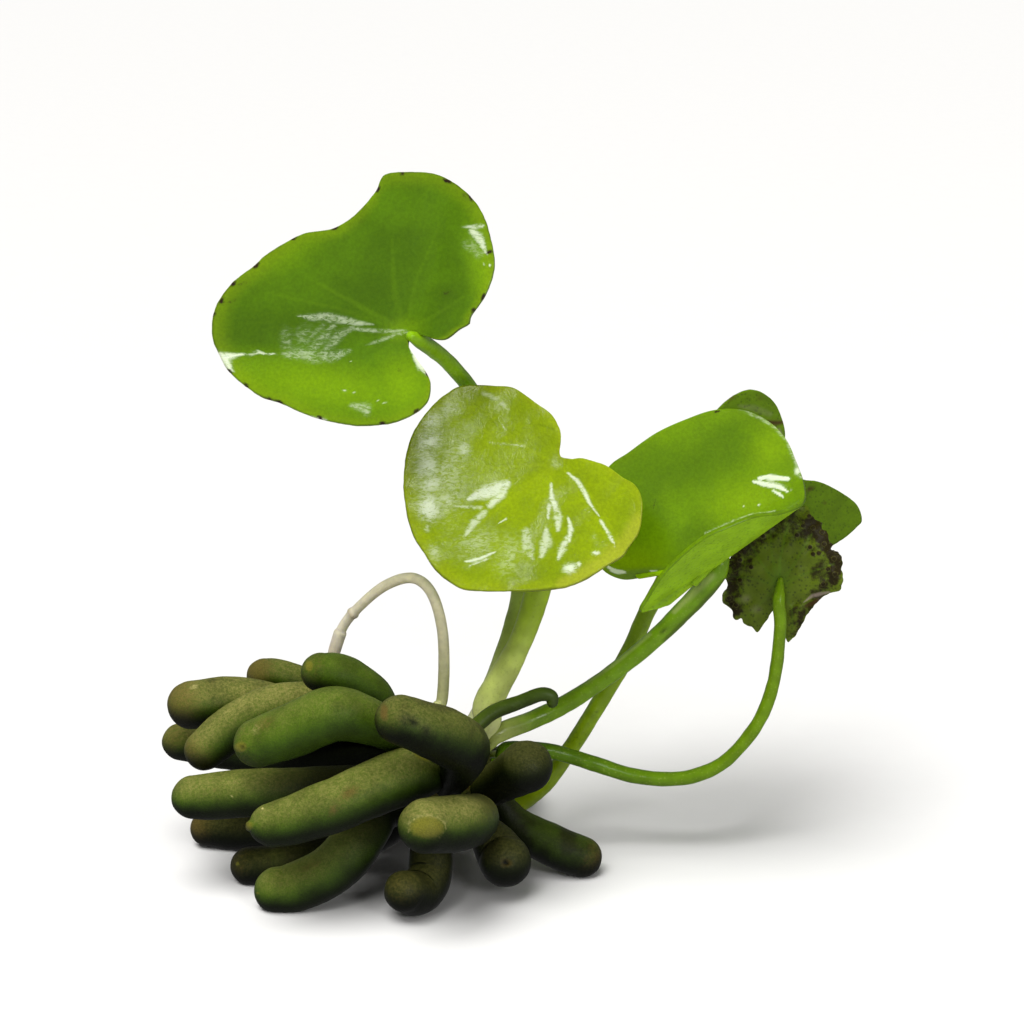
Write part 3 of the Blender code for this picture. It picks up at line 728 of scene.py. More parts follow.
class Piece:
    """Finishes a mesh as one shown piece of the plant."""

    @staticmethod
    def mesh(name: str, maker: bmesh.types.BMesh) -> bpy.types.Mesh:
        """Turns an edited mesh into mesh data, shaded smooth, and frees the editor."""
        data = bpy.data.meshes.new(name)
        maker.to_mesh(data)
        maker.free()
        data.shade_smooth()
        return data

    @staticmethod
    def show(
        node: str, data: bpy.types.Mesh, slot: str, finishes: list[bpy.types.Material]
    ) -> bpy.types.Object:
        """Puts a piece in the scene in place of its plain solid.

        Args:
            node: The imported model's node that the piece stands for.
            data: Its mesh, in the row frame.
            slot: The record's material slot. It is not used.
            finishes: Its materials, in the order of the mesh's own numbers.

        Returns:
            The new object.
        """
        piece = bpy.data.objects.new(f"{node}_grown", data)
        bpy.context.scene.collection.objects.link(piece)
        for finish in finishes:
            data.materials.append(finish)
        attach(piece, "root")
        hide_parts(node)
        log.info("%s: %d faces", piece.name, len(data.polygons))
        return piece


@dataclass(frozen=True)
class Crown:
    """The short rootstock that everything grows from."""

    eye: Eye
    node: str = "crown"
    sight: Triple = (45.0, 76.8, 0.0)
    radii: Triple = (4.4, 4.8, 5.0)
    lump: float = 0.28
    lump_mm: float = 1.6

    def centre(self) -> Vector:
        """The middle of the crown, in millimetres."""
        return self.eye.place(*self.sight)

    def surface(self, side: Triple, above: float) -> tuple[Vector, Vector]:
        """A point on the crown.

        Args:
            side: The direction from the crown's middle.
            above: How far above the skin the point lies, in millimetres.

        Returns:
            The point and the unit way out.
        """
        out = Vector(side).normalized()
        stretched = Vector([out[axis] / self.radii[axis] for axis in range(3)])
        return self.centre() + out * (1.0 / stretched.length + above), out

    def build(self) -> bpy.types.Mesh:
        """Makes the lumpy rootstock."""
        maker = bmesh.new()
        bmesh.ops.create_icosphere(maker, subdivisions=6, radius=1.0)
        centre = self.centre()
        for vert in maker.verts:
            out = vert.co.normalized()
            point = centre + Vector([out[axis] * self.radii[axis] for axis in range(3)])
            lump = noise.noise(point / self.lump_mm) + 0.5 * noise.noise(point / self.lump_mm * 2.7)
            vert.co = (point + out * self.lump * (lump - 0.6)) * MM
        return Piece.mesh(self.node, maker)

    def dress(self, data: bpy.types.Mesh) -> None:
        """Gives the crown its tissue and shows it."""
        Piece.show(self.node, data, "crown_tissue", [CrownTissue("rootstock_tissue", 0.75, 0.05).material()])


@dataclass(frozen=True)
class Growth:
    """A round organ that grows from the crown.

    Attributes:
        node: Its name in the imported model.
        side: The side of the crown that it grows from.
        neck: The radius of its neck.
        knots: Its line as sights with a radius.
    """

    node: str
    side: Triple
    neck: float
    knots: tuple[Knot, ...]

    def stops(self, crown: Crown, rings: int, tip_rings: int, gap: float = 0.3) -> list[tuple[Vector, Vector, float]]:
        """The stops that the organ's rings stand on.

        Args:
            crown: The rootstock that it grows from.
            rings: How many rings its length has.
            tip_rings: How many more round off its far end.
            gap: How far above the crown its solid starts.

        Returns:
            Each stop's point with a radius, the way that it faces, and its share of the length.
        """
        rooted = 1.3
        start, out = crown.surface(self.side, gap)
        knots = [
            Vector((*(start - out * rooted), self.neck)),
            Vector((*start, self.neck)),
            Vector((*(start + out * 1.3), self.neck)),
        ]
        for right, down, back, radius in self.knots:
            knots.append(Vector((*crown.eye.place(right, down, back), radius)))
        stops = []
        for index, (point, way) in enumerate(evenly(curve_through(knots), rings)):
            stops.append((point, way, index / (rings - 1)))
        end, way, _ = stops[-1]
        for ring in range(1, tip_rings + 1):
            turn = math.radians(88.0) * ring / tip_rings
            point = Vector((*(end.xyz + way * (end.w * math.sin(turn))), end.w * math.cos(turn)))
            stops.append((point, way, 1.0 + 0.1 * math.sin(turn)))
        return stops

    def sweep(self, stops: list[tuple[Vector, Vector, float]], sides: int) -> bmesh.types.BMesh:
        """Extrudes a ring from stop to stop and closes both ends.

        Args:
            stops: The stops, from stops().
            sides: How many corners a ring has.

        Returns:
            The edited mesh, in metres, with an attribute "along".
        """
        maker = bmesh.new()
        along = maker.verts.layers.float.new("along")
        for kind in Mark:
            maker.verts.layers.float.new(kind.value)
        for name in ("bloom_and_top_light", "dark", "under"):
            maker.verts.layers.float.new(name)
        across = stops[0][1].orthogonal().normalized()
        matrices = []
        for point, way, _ in stops:
            across = (across - way * across.dot(way)).normalized()
            turned = Matrix((across, way.cross(across), way)).transposed().to_4x4()
            matrices.append(Matrix.Translation(point.xyz * MM) @ turned @ Matrix.Scale(point.w * MM, 4))
        ring = bmesh.ops.create_circle(maker, segments=sides, radius=1.0, matrix=matrices[0])["verts"]
        edges = list({edge for vert in ring for edge in vert.link_edges})
        for before, after, (_, _, share) in zip(matrices, matrices[1:], stops[1:]):
            grown = bmesh.ops.extrude_edge_only(maker, edges=edges)["geom"]
            ring = [item for item in grown if isinstance(item, bmesh.types.BMVert)]
            edges = [item for item in grown if isinstance(item, bmesh.types.BMEdge)]
            bmesh.ops.transform(maker, matrix=after @ before.inverted(), verts=ring)
            for vert in ring:
                vert[along] = share
        bmesh.ops.holes_fill(maker, edges=maker.edges[:], sides=0)
        bmesh.ops.recalc_face_normals(maker, faces=maker.faces[:])
        maker.normal_update()
        return maker


def mark_skin(maker: bmesh.types.BMesh, marks: tuple[AnyMark, ...], eye: Eye) -> None:
    """Writes marks into a mesh's attributes where they are seen, and raises or sinks its skin there.

    Args:
        maker: The edited mesh, in metres, with its normals up to date.
        marks: The marks.
        eye: The viewer.
    """
    moved = []
    for vert in maker.verts:
        point = vert.co / MM
        if not eye.sees(point, vert.normal):
            continue
        right, down = eye.sight(point)
        rise = 0.0
        for mark in marks:
            weight = mark.weight(right, down)
            if weight > 0.0:
                layer = maker.verts.layers.float[mark.kind.value]
                vert[layer] = max(vert[layer], weight)
                rise += mark.rise * weight
        if rise:
            moved.append((vert, vert.normal.copy() * rise * MM))
    for vert, push in moved:
        vert.co += push


@dataclass(frozen=True)
class Tuber(Growth):
    """A banana-shaped store of food.

    Attributes:
        bloom_and_top_light: How mealy and pale its upward-facing skin is: partly real meal, partly painted top light.
        tip: How tan its tip is.
        dark: How dark its green is.
        painted_base_shade: How much painted shade darkens its base, near the crown.
        painted_base_black_shade: How black painted shade makes its base, near the crown.
        base_reach: The share of its length that this painted shade reaches.
        shaded: How black painted shade makes its downward-facing skin.
        marks: The marks on its skin.
    """

    bloom_and_top_light: float = 0.5
    tip: float = 0.4
    dark: float = 0.2
    marks: tuple[AnyMark, ...] = ()
    painted_base_shade: float = 0.4
    painted_base_black_shade: float = 0.4
    base_reach: float = 0.4
    shaded: float = 0.9
    rings: int = 72
    tip_rings: int = 12
    sides: int = 44
    lump: float = 0.12
    lump_mm: float = 3.6

    def build(self, crown: Crown) -> bpy.types.Mesh:
        """Makes the tuber, with its lumps and marks, flattened where it rests."""
        maker = self.sweep(self.stops(crown, self.rings, self.tip_rings), self.sides)
        layers = maker.verts.layers.float
        along, bloom_and_top_light, dark, under, tan = (layers[name] for name in ("along", "bloom_and_top_light", "dark", "under", "tan"))
        for vert in maker.verts:
            point = vert.co / MM
            lump = noise.noise(point / self.lump_mm) + 0.4 * noise.noise(point / self.lump_mm * 2.9)
            vert.co += vert.normal * (self.lump * lump * MM)
            upward = vert.normal.z
            grown = smooth(0.12, 0.35, vert[along])
            # Paler on upward-facing skin: partly the real mealy coat, partly painted top light.
            vert[bloom_and_top_light] = self.bloom_and_top_light * smooth(-0.1, 0.85, upward) * (0.25 + 0.75 * grown)
            # Darker towards the base: painted shade where the tubers crowd at the crown.
            vert[dark] = min(self.dark + self.painted_base_shade * smooth(0.5, 0.12, vert[along]), 1.0)
            # Painted shade: black near the crown and on downward-facing skin.
            rooted = self.painted_base_black_shade * smooth(self.base_reach, self.base_reach - 0.4, vert[along])
            vert[under] = max(self.shaded * smooth(0.42, -0.45, upward), rooted)
            vert[tan] = 0.85 * self.tip * smooth(0.88, 1.06, vert[along])
            if vert.co.z < 0.0:
                vert.co.z = 0.0
        maker.normal_update()
        mark_skin(maker, self.marks, crown.eye)
        return Piece.mesh(self.node, maker)


@dataclass(frozen=True)
class Stalk(Growth):
    """A leaf stalk, or the slender young tuber."""

    finish: Finish | None = None
    slot: str = "stalk_skin"
    rings: int = 170
    sides: int = 26
    lump: float = 0.05
    marks: tuple[AnyMark, ...] = ()

    def build(self, crown: Crown) -> bpy.types.Mesh:
        """Makes the stalk, slightly uneven along its length."""
        maker = self.sweep(self.stops(crown, self.rings, 8), self.sides)
        for vert in maker.verts:
            point = vert.co / MM
            lump = noise.noise(point / 1.9) + 0.5 * noise.noise(point / 0.8)
            vert.co += vert.normal * (self.lump * lump * MM)
        maker.normal_update()
        mark_skin(maker, self.marks, crown.eye)
        return Piece.mesh(self.node, maker)

    def dress(self, data: bpy.types.Mesh) -> None:
        """Gives the stalk its skin and shows it."""
        Piece.show(self.node, data, self.slot, [self.finish.material()])


@dataclass(frozen=True)
class PaleRoot(Growth):
    """The thin pale root that arches up beside the stalks, with a node and a torn sheath on its far side."""

    rings: int = 220
    sides: int = 24
    node_at: float = 0.80
    sheath_at: float = 0.88

    def build(self, crown: Crown) -> bpy.types.Mesh:
        """Makes the root."""
        maker = self.sweep(self.stops(crown, self.rings, 8), self.sides)
        along = maker.verts.layers.float["along"]
        tan = maker.verts.layers.float["tan"]
        for vert in maker.verts:
            share = vert[along]
            swell = 0.14 * math.exp(-((share - self.node_at) / 0.008) ** 2)
            swell += 0.16 * smooth(self.sheath_at - 0.012, self.sheath_at, share) * smooth(1.05, 0.93, share)
            lump = 0.02 * noise.noise(vert.co / MM / 1.2)
            vert.co += vert.normal * ((swell + lump) * MM)
            vert[tan] = 0.35 * math.exp(-((share - self.node_at) / 0.006) ** 2) + 0.3 * smooth(0.86, 1.0, share)
        maker.normal_update()
        return Piece.mesh(self.node, maker)

    def dress(self, data: bpy.types.Mesh) -> None:
        """Gives the root its skin and shows it."""
        skin = RootSkin("water_root_skin", 0.4, 0.3, 0.15, 0.25)
        Piece.show(self.node, data, "pale_root_skin", [skin.material()])


@dataclass(frozen=True)
class Crease:
    """A soft valley or ridge across a leaf.

    Attributes:
        start: One end, as right and down.
        end: The other end.
        width: Half its width.
        depth: How far back it pushes the blade, or forward where this is below 0.
    """

    start: tuple[float, float]
    end: tuple[float, float]
    width: float
    depth: float

    def push(self, right: float, down: float) -> float:
        """How far back the crease moves the blade at a sight."""
        (x1, y1), (x2, y2) = self.start, self.end
        reach = (x2 - x1) ** 2 + (y2 - y1) ** 2
        share = min(max(((right - x1) * (x2 - x1) + (down - y1) * (y2 - y1)) / reach, 0.0), 1.0)
        away = math.hypot(right - x1 - share * (x2 - x1), down - y1 - share * (y2 - y1))
        return self.depth * math.exp(-((away / self.width) ** 2))


@dataclass(frozen=True)
class Leaf:
    """A heart-shaped floating leaf.

    Attributes:
        node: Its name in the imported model.
        slot: The record's material slot.
        middle: The sight that its blade is spread out from.
        margin: Its margin as sights, each with how far back it lies.
        front: The finish of the side towards the viewer.
        behind: The finish of the other side.
        creases: Soft valleys and ridges.
        marks: The marks on its skin.
        ripple: How deep its waves are.
        ripple_mm: How long its waves are.
        ragged: How far its margin is eaten in and out, as a share of its reach.
    """

    node: str
    slot: str
    middle: Triple
    margin: tuple[Triple, ...]
    front: Finish
    behind: Finish
    creases: tuple[Crease, ...] = ()
    marks: tuple[AnyMark, ...] = ()
    ripple: float = 0.12
    ripple_mm: float = 3.0
    ragged: float = 0.003
    thickness: float = 0.45
    thin: float = 0.45
    spokes: int = 320
    rings: int = 72

    def back(self, sight: Vector, share: float) -> float:
        """How far back the blade lies at a sight, before its creases and ripples."""
        return sight.z

    def build(self, eye: Eye) -> bpy.types.Mesh:
        """Makes the front skin of the blade: a sheet wrapped round its middle, out to its margin."""
        middle = Vector(self.middle)
        line = curve_through([Vector(point) for point in self.margin], closed=True)
        line.append(line[0])
        rim = [point for point, _ in evenly(line, self.spokes + 1)]
        maker = bmesh.new()
        share_layer = maker.verts.layers.float.new("share")
        for kind in Mark:
            maker.verts.layers.float.new(kind.value)
        bmesh.ops.create_grid(maker, x_segments=self.spokes, y_segments=self.rings, size=SHEET_HALF)
        for vert in maker.verts:
            spoke = round((vert.co.x + SHEET_HALF) * self.spokes) % self.spokes
            share = vert.co.y + SHEET_HALF
            wear_and_painted_highlight = self.ragged * noise.noise(rim[spoke] / 0.55) * share ** 4
            sight = middle.lerp(rim[spoke], share * (1.0 + wear_and_painted_highlight))
            back = self.back(sight, share)
            for crease in self.creases:
                back += crease.push(sight.x, sight.y)
            ripple = noise.noise(Vector((sight.x, sight.y, 0.0)) / self.ripple_mm)
            back += self.ripple * ripple * (0.3 + 0.7 * share)
            vert.co = eye.place(sight.x, sight.y, back) * MM
            vert[share_layer] = share
        bmesh.ops.remove_doubles(maker, verts=maker.verts[:], dist=MERGE_DISTANCE * MM)
        bmesh.ops.recalc_face_normals(maker, faces=maker.faces[:])
        if sum(face.normal.y * face.calc_area() for face in maker.faces) > 0.0:
            bmesh.ops.reverse_faces(maker, faces=maker.faces[:])
        maker.normal_update()
        mark_skin(maker, self.marks, eye)
        return Piece.mesh(self.node, maker)

    def dress(self, data: bpy.types.Mesh) -> None:
        """Gives the blade its thickness and both its skins, and shows it."""
        leaf = Piece.show(self.node, data, self.slot, [self.front.material(), self.behind.material()])
        group = leaf.vertex_groups.new(name="body")
        shares = data.attributes["share"].data
        for index in range(len(data.vertices)):
            group.add([index], 1.0 - (1.0 - self.thin) * smooth(0.8, 1.0, shares[index].value), "REPLACE")
        wall = leaf.modifiers.new("thickness", "SOLIDIFY")
        wall.thickness = self.thickness * MM
        wall.offset = -1.0
        wall.vertex_group = "body"
        wall.thickness_vertex_group = 0.0
        wall.material_offset = 1


@dataclass(frozen=True)
class OpenLeaf(Leaf):
    """A leaf that faces the viewer, leaning back and gently dished.

    Attributes:
        lean_up: How much further back it lies per millimetre up.
        lean_right: How much further back it lies per millimetre to the right.
        dish: How far forward its margin comes.
        reach: How far its furthest margin point is from its middle.
    """

    lean_up: float = 0.45
    lean_right: float = 0.0
    dish: float = 1.0
    reach: float = 15.0

    def back(self, sight: Vector, share: float) -> float:
        """How far back the blade lies at a sight, before its creases and ripples."""
        right, down, back = self.middle
        lean = self.lean_up * (down - sight.y) + self.lean_right * (sight.x - right)
        away = math.hypot(sight.x - right, sight.y - down) / self.reach
        return back + lean - self.dish * away ** 2


@dataclass(frozen=True)
class Softbox:
    """A plain square light."""

    name: str
    place: Triple
    aim: Triple
    size: float
    power: float
    glares: bool = True

    def build(self) -> None:
        """Hangs the light and turns it to what it lights."""
        light = bpy.data.lights.new(self.name, "AREA")
        light.shape = "SQUARE"
        light.size = self.size
        light.energy = self.power
        aim_lamp(self.name, light, Vector(self.place), Vector(self.aim) - Vector(self.place), self.glares)


@dataclass(frozen=True)
class Skylight:
    """A broad light so far off that it lights the whole floor evenly."""

    name: str
    way: Triple
    spread: float
    strength: float

    def build(self) -> None:
        """Hangs the light, shining along its way."""
        light = bpy.data.lights.new(self.name, "SUN")
        light.angle = math.radians(self.spread)
        light.energy = self.strength
        aim_lamp(self.name, light, -Vector(self.way), Vector(self.way), False)


def aim_lamp(name: str, light: bpy.types.Light, place: Vector, way: Vector, glares: bool) -> None:
    """Puts a light in the scene.

    Args:
        name: Its name.
        light: The light's own settings.
        place: Where it hangs, in metres.
        way: The way that it shines.
        glares: Whether wet skin mirrors it.
    """
    lamp = bpy.data.objects.new(name, light)
    lamp.location = place
    lamp.visible_glossy = glares
    lamp.rotation_mode = "QUATERNION"
    lamp.rotation_quaternion = way.to_track_quat("-Z", "Y")
    bpy.context.scene.collection.objects.link(lamp)


@dataclass(frozen=True)
class Studio:
    """The camera, the pale floor and the soft lights."""

    eye: Eye
    floor_half: float = 3.0
    world_strength: float = 0.18
    lights: tuple[Softbox | Skylight, ...] = (
        Skylight("skylight", (0.22, 0.30, -0.93), 40.0, 4.1),
        Softbox("right_softbox", (0.19, -0.33, 0.20), (0.0, 0.0, 0.045), 0.11, 0.36),
        Softbox("left_softbox", (-0.14, -0.36, 0.34), (0.0, 0.0, 0.045), 0.12, 0.30, False),
    )

    def camera(self) -> None:
        """Stands the camera at the eye."""
        lens = bpy.data.cameras.new("view")
        lens.sensor_width = self.eye.sensor
        lens.lens = self.eye.sensor * self.eye.focal_pixels / self.eye.frame_pixels
        lens.clip_start = 0.01
        lens.clip_end = 20.0
        camera = bpy.data.objects.new("view", lens)
        camera.location = self.eye.stand() * MM
        ahead = Vector((0.0, math.cos(self.eye.tilt), -math.sin(self.eye.tilt)))
        camera.rotation_mode = "QUATERNION"
        camera.rotation_quaternion = ahead.to_track_quat("-Z", "Y")
        bpy.context.scene.collection.objects.link(camera)
        bpy.context.scene.camera = camera

    def floor(self) -> None:
        """Lays the pale floor."""
        maker = bmesh.new()
        bmesh.ops.create_grid(maker, x_segments=8, y_segments=8, size=self.floor_half)
        floor = bpy.data.objects.new("floor", Piece.mesh("floor", maker))
        floor.data.materials.append(StudioPaper("seamless_paper", 0.9, 0.0).material())
        floor.visible_glossy = False
        bpy.context.scene.collection.objects.link(floor)

    def build(self) -> None:
        """Sets up the whole studio."""
        self.camera()
        self.floor()
        for light in self.lights:
            light.build()
        world = bpy.data.worlds.new("studio")
        world.use_nodes = True
        sky = world.node_tree.nodes["Background"]
        sky.inputs["Color"].default_value = linear("#FFFFFF")
        sky.inputs["Strength"].default_value = self.world_strength
        bpy.context.scene.world = world
        bpy.context.scene.view_settings.view_transform = "Standard"


def tubers() -> list[Tuber]:
    """The thick tubers, seen ones first."""
    tan, scar, pale, pit, deep = Mark.TAN, Mark.SCAR, Mark.PALE, Mark.PIT, Mark.DEEP
    return [
        Tuber("tuber_01", (-0.80, 0.45, 0.38), 1.0, (
            (35.5, 72.6, 5.8, 1.6), (29.0, 70.9, 5.3, 2.2), (23.5, 70.2, 4.2, 2.6), (19.2, 70.45, 3.0, 2.55)),
            bloom_and_top_light=0.95, tip=0.75, dark=0.25, marks=(
                Blot(pale, 19.4, 68.7, 0.7, 0.35, 20.0, strength=0.6),
                Blot(tan, 20.9, 68.2, 1.4, 0.5, 10.0, strength=0.4, edge=1.0),
                Blot(pit, 21.3, 68.0, 0.5, 0.18, 10.0, strength=0.5),
                Blot(pit, 23.2, 68.1, 0.4, 0.15, 0.0, strength=0.4))),
        Tuber("tuber_02", (-0.85, 0.50, -0.05), 1.0, (
            (36.0, 75.7, 6.0, 2.1), (30.0, 75.7, 7.2, 2.2), (22.5, 75.0, 7.5, 2.0), (18.1, 74.2, 6.9, 1.95)),
            bloom_and_top_light=0.7, tip=0.6, dark=0.3, painted_base_black_shade=0.97, base_reach=0.9),
        Tuber("tuber_03", (-0.85, 0.02, 0.53), 1.0, (
            (38.0, 72.9, 0.9, 1.5), (34.0, 71.3, 0.2, 1.9), (30.5, 70.3, -0.4, 2.2),
            (26.5, 71.0, -0.9, 2.3), (22.8, 73.1, -1.2, 2.3), (20.5, 75.0, -2.0, 2.1)),
            bloom_and_top_light=1.0, tip=0.7, dark=0.15),
        Tuber("tuber_04", (-0.75, -0.50, 0.42), 1.1, (
            (39.4, 73.4, -7.4, 1.9), (34.0, 71.4, -10.2, 2.7), (29.5, 72.9, -10.0, 2.7),
            (25.8, 74.3, -9.8, 2.4)),
            bloom_and_top_light=0.4, tip=0.45, dark=0.0, painted_base_black_shade=0.5, base_reach=0.45, shaded=0.35, marks=(
                Blot(pale, 25.6, 72.9, 1.3, 0.8, 40.0, strength=0.45, edge=1.2),
                Blot(scar, 24.1, 74.7, 0.75, 0.65, 0.0, 0.18, 0.9),
                Blot(pit, 24.3, 74.6, 0.25, 0.2, 0.0, -0.2, 0.7),
                Blot(tan, 26.4, 72.4, 1.6, 0.9, 30.0, strength=0.5))),
        Tuber("tuber_05", (-0.98, -0.15, 0.0), 1.1, (
            (37.0, 78.0, -1.0, 1.8), (31.0, 78.9, -4.0, 2.2), (26.0, 79.2, -5.0, 2.4), (21.5, 79.6, -5.0, 2.4),
            (19.3, 79.7, -5.0, 2.2)),
            bloom_and_top_light=0.75, tip=0.0, dark=0.1, painted_base_black_shade=0.92, base_reach=0.85, marks=(
                Blot(tan, 21.5, 79.0, 0.7, 0.5, 20.0, strength=0.45, edge=1.0),
                Blot(pale, 23.1, 79.7, 0.25, 0.2, 0.0, strength=0.7),
                Blot(pit, 19.9, 81.2, 0.3, 0.15, 0.0, strength=0.8))),
        Tuber("tuber_06", (-0.72, -0.68, -0.05), 1.2, (
            (42.6, 76.9, -6.4, 2.7), (39.8, 77.8, -10.2, 2.85), (36.8, 79.1, -12.0, 2.75), (33.5, 80.5, -13.5, 2.7),
            (29.9, 81.8, -14.0, 2.5), (27.2, 82.5, -14.0, 2.2)),
            bloom_and_top_light=0.7, tip=0.0, dark=0.12, marks=(
                Blot(scar, 25.0, 82.6, 0.6, 0.5, 40.0, 0.35, 0.95),
                Blot(pale, 26.3, 80.85, 0.22, 0.14, 50.0, 0.05, 1.0),
                Blot(tan, 33.3, 81.0, 1.1, 0.6, 60.0, -0.04, 0.85, 1.3),
                Blot(tan, 34.9, 79.3, 1.7, 0.7, 35.0, -0.05, 0.9, 1.3),
                Blot(tan, 34.2, 80.1, 2.6, 1.2, 45.0, strength=0.45, edge=1.4),
                Blot(scar, 42.4, 75.5, 1.3, 0.7, -20.0, strength=1.0))),
        Tuber("tuber_07", (-0.66, -0.48, -0.56), 1.1, (
            (38.0, 81.4, -5.0, 2.1), (35.4, 84.7, -8.0, 2.6), (32.8, 87.2, -8.9, 2.6), (29.4, 88.8, -9.1, 2.5),
            (27.7, 89.0, -9.2, 2.3)),
            bloom_and_top_light=0.6, tip=0.0, dark=0.0, painted_base_black_shade=0.95, base_reach=0.68, shaded=0.92, marks=(
                Blot(tan, 31.0, 86.6, 1.8, 0.5, 25.0, strength=0.5),
                Blot(scar, 25.8, 89.3, 0.3, 0.2, 0.0, 0.05, 0.8))),
        Tuber("tuber_08", (-0.80, 0.30, -0.50), 1.0, (
            (36.0, 81.0, 3.5, 1.7), (30.0, 82.8, 4.8, 2.0), (24.2, 83.1, 5.6, 2.0), (20.8, 82.8, 6.0, 1.9)),
            bloom_and_top_light=0.3, tip=0.8, dark=0.9, painted_base_black_shade=0.9, base_reach=0.9),
        Tuber("tuber_09", (-0.62, -0.05, -0.78), 1.0, (
            (38.5, 83.0, 0.0, 1.8), (33.0, 85.3, -2.0, 2.0), (28.5, 86.4, -3.0, 2.1), (25.0, 86.6, -3.0, 2.0)),
            bloom_and_top_light=0.2, tip=0.5, dark=0.9, painted_base_black_shade=0.9, base_reach=0.9, marks=(Blot(scar, 23.8, 86.4, 0.3, 0.3, 0.0, 0.05, 0.8),)),
        Tuber("tuber_10", (-0.40, 0.55, 0.73), 0.9, (
            (39.5, 71.2, 8.5, 1.4), (32.7, 69.2, 11.0, 1.75), (28.4, 67.8, 10.8, 1.9), (26.4, 67.55, 10.2, 1.8)),
            bloom_and_top_light=0.8, tip=0.85, dark=0.1),
        Tuber("tuber_11", (-0.52, -0.25, 0.81), 1.0, (
            (38.7, 71.4, -2.3, 1.7), (36.8, 69.3, -3.4, 2.15), (34.2, 67.7, -4.2, 2.3), (32.1, 67.25, -4.4, 2.0)),
            bloom_and_top_light=0.2, tip=0.5, dark=0.12, marks=(
                Blot(scar, 30.9, 66.6, 0.5, 0.7, 0.0, 0.05, 0.9),
                Blot(tan, 31.6, 66.4, 1.0, 1.2, 0.0, strength=0.4))),
        Tuber("tuber_12", (0.0, -0.98, 0.10), 1.3, (
            (46.0, 76.8, -9.5, 2.0), (46.3, 74.9, -11.5, 2.65), (44.9, 73.8, -13.0, 2.8), (42.5, 72.85, -14.5, 2.6),
            (40.0, 72.0, -15.2, 2.4)),
            bloom_and_top_light=0.5, tip=0.35, dark=0.58, painted_base_black_shade=0.75, base_reach=0.5, marks=(
                Blot(tan, 38.4, 71.2, 0.5, 1.1, 0.0, strength=0.9),
                Blot(pit, 41.4, 72.3, 0.6, 0.4, -20.0, -0.25, 0.85, 0.9))),
        Tuber("tuber_13", (0.85, -0.50, 0.05), 1.1, (
            (48.8, 78.7, -3.4, 1.9), (51.0, 77.6, -6.2, 2.3), (52.6, 76.7, -8.2, 2.65)),
            bloom_and_top_light=0.25, tip=0.1, dark=1.0, painted_base_shade=0.0, painted_base_black_shade=0.0),
        Tuber("tuber_14", (0.45, -0.78, -0.42), 1.1, (
            (47.6, 81.8, -8.6, 2.4), (45.8, 82.3, -13.6, 2.8), (42.6, 82.6, -17.0, 2.7)),
            bloom_and_top_light=1.0, tip=0.3, dark=0.2, painted_base_black_shade=0.7, base_reach=0.4, marks=(
                Blot(scar, 42.75, 82.75, 2.1, 1.3, 0.0, -0.10, 0.95, 0.45),
                Stroke(pale, ((40.9, 83.2, 0.22), (40.8, 82.3, 0.22), (41.8, 81.6, 0.22), (43.3, 81.5, 0.22),
                              (44.5, 82.2, 0.22), (44.6, 83.1, 0.2), (43.6, 83.9, 0.2)), 0.45, 0.05))),
        Tuber("tuber_15", (-0.12, -0.52, -0.84), 1.1, (
            (43.2, 84.5, -6.0, 2.1), (43.0, 87.4, -8.0, 2.25), (41.9, 89.2, -10.0, 2.3),
            (40.5, 89.2, -12.4, 2.1)),
            bloom_and_top_light=0.32, tip=0.4, dark=0.95, painted_base_black_shade=0.97, base_reach=0.6,
            marks=(Blot(tan, 39.6, 88.2, 0.9, 1.2, 0.0, strength=0.4),)),
        Tuber("tuber_16", (0.42, -0.15, -0.89), 1.0, (
            (49.0, 83.8, -4.6, 2.1), (50.3, 85.8, -6.0, 2.6), (50.5, 86.1, -7.2, 2.6)),
            bloom_and_top_light=0.3, tip=0.1, dark=0.95, painted_base_black_shade=0.85, base_reach=0.6, marks=(
                Blot(pit, 50.6, 86.3, 0.45, 0.3, 0.0, -0.3, 1.0),
                Blot(tan, 50.6, 86.3, 0.9, 0.6, 0.0, 0.05, 0.6))),
        Tuber("tuber_17", (0.80, 0.02, -0.60), 1.1, (
            (52.3, 83.0, -0.4, 2.0), (56.1, 84.9, -1.3, 2.2), (58.1, 85.7, -1.3, 2.15)),
            bloom_and_top_light=0.08, tip=0.6, dark=0.62, painted_base_black_shade=0.5, base_reach=0.35),
        Tuber("tuber_18", (-0.45, 0.85, 0.20), 1.0, (
            (40.0, 74.8, 11.0, 1.8), (35.5, 76.2, 16.0, 2.1), (31.5, 78.3, 19.0, 2.0)),
            bloom_and_top_light=0.7, tip=0.5, dark=0.2),
        Tuber("tuber_19", (-0.45, 0.70, -0.55), 1.0, (
            (40.0, 79.3, 8.0, 1.8), (36.0, 80.1, 11.5, 2.1), (31.0, 80.8, 13.0, 2.1), (27.5, 80.9, 13.0, 1.9)),
            bloom_and_top_light=0.5, tip=0.6, dark=0.4),
        Tuber("tuber_20", (0.10, 0.98, -0.15), 1.1, (
            (44.0, 77.0, 12.0, 2.0), (42.8, 76.8, 18.0, 2.3), (41.5, 76.9, 22.0, 2.2)),
            bloom_and_top_light=0.8, tip=0.4, dark=0.2),
        Tuber("tuber_21", (0.15, 0.60, -0.78), 1.0, (
            (45.5, 81.6, 6.0, 1.9), (45.5, 81.1, 10.0, 2.1), (46.5, 80.0, 14.0, 2.0)),
            bloom_and_top_light=0.3, tip=0.5, dark=0.6),
        Tuber("tuber_22", (0.48, 0.86, 0.15), 1.0, (
            (49.5, 77.0, 9.0, 1.7), (51.0, 77.5, 14.0, 2.0), (51.8, 78.3, 17.5, 1.9)),
            bloom_and_top_light=0.6, tip=0.6, dark=0.3),
    ]


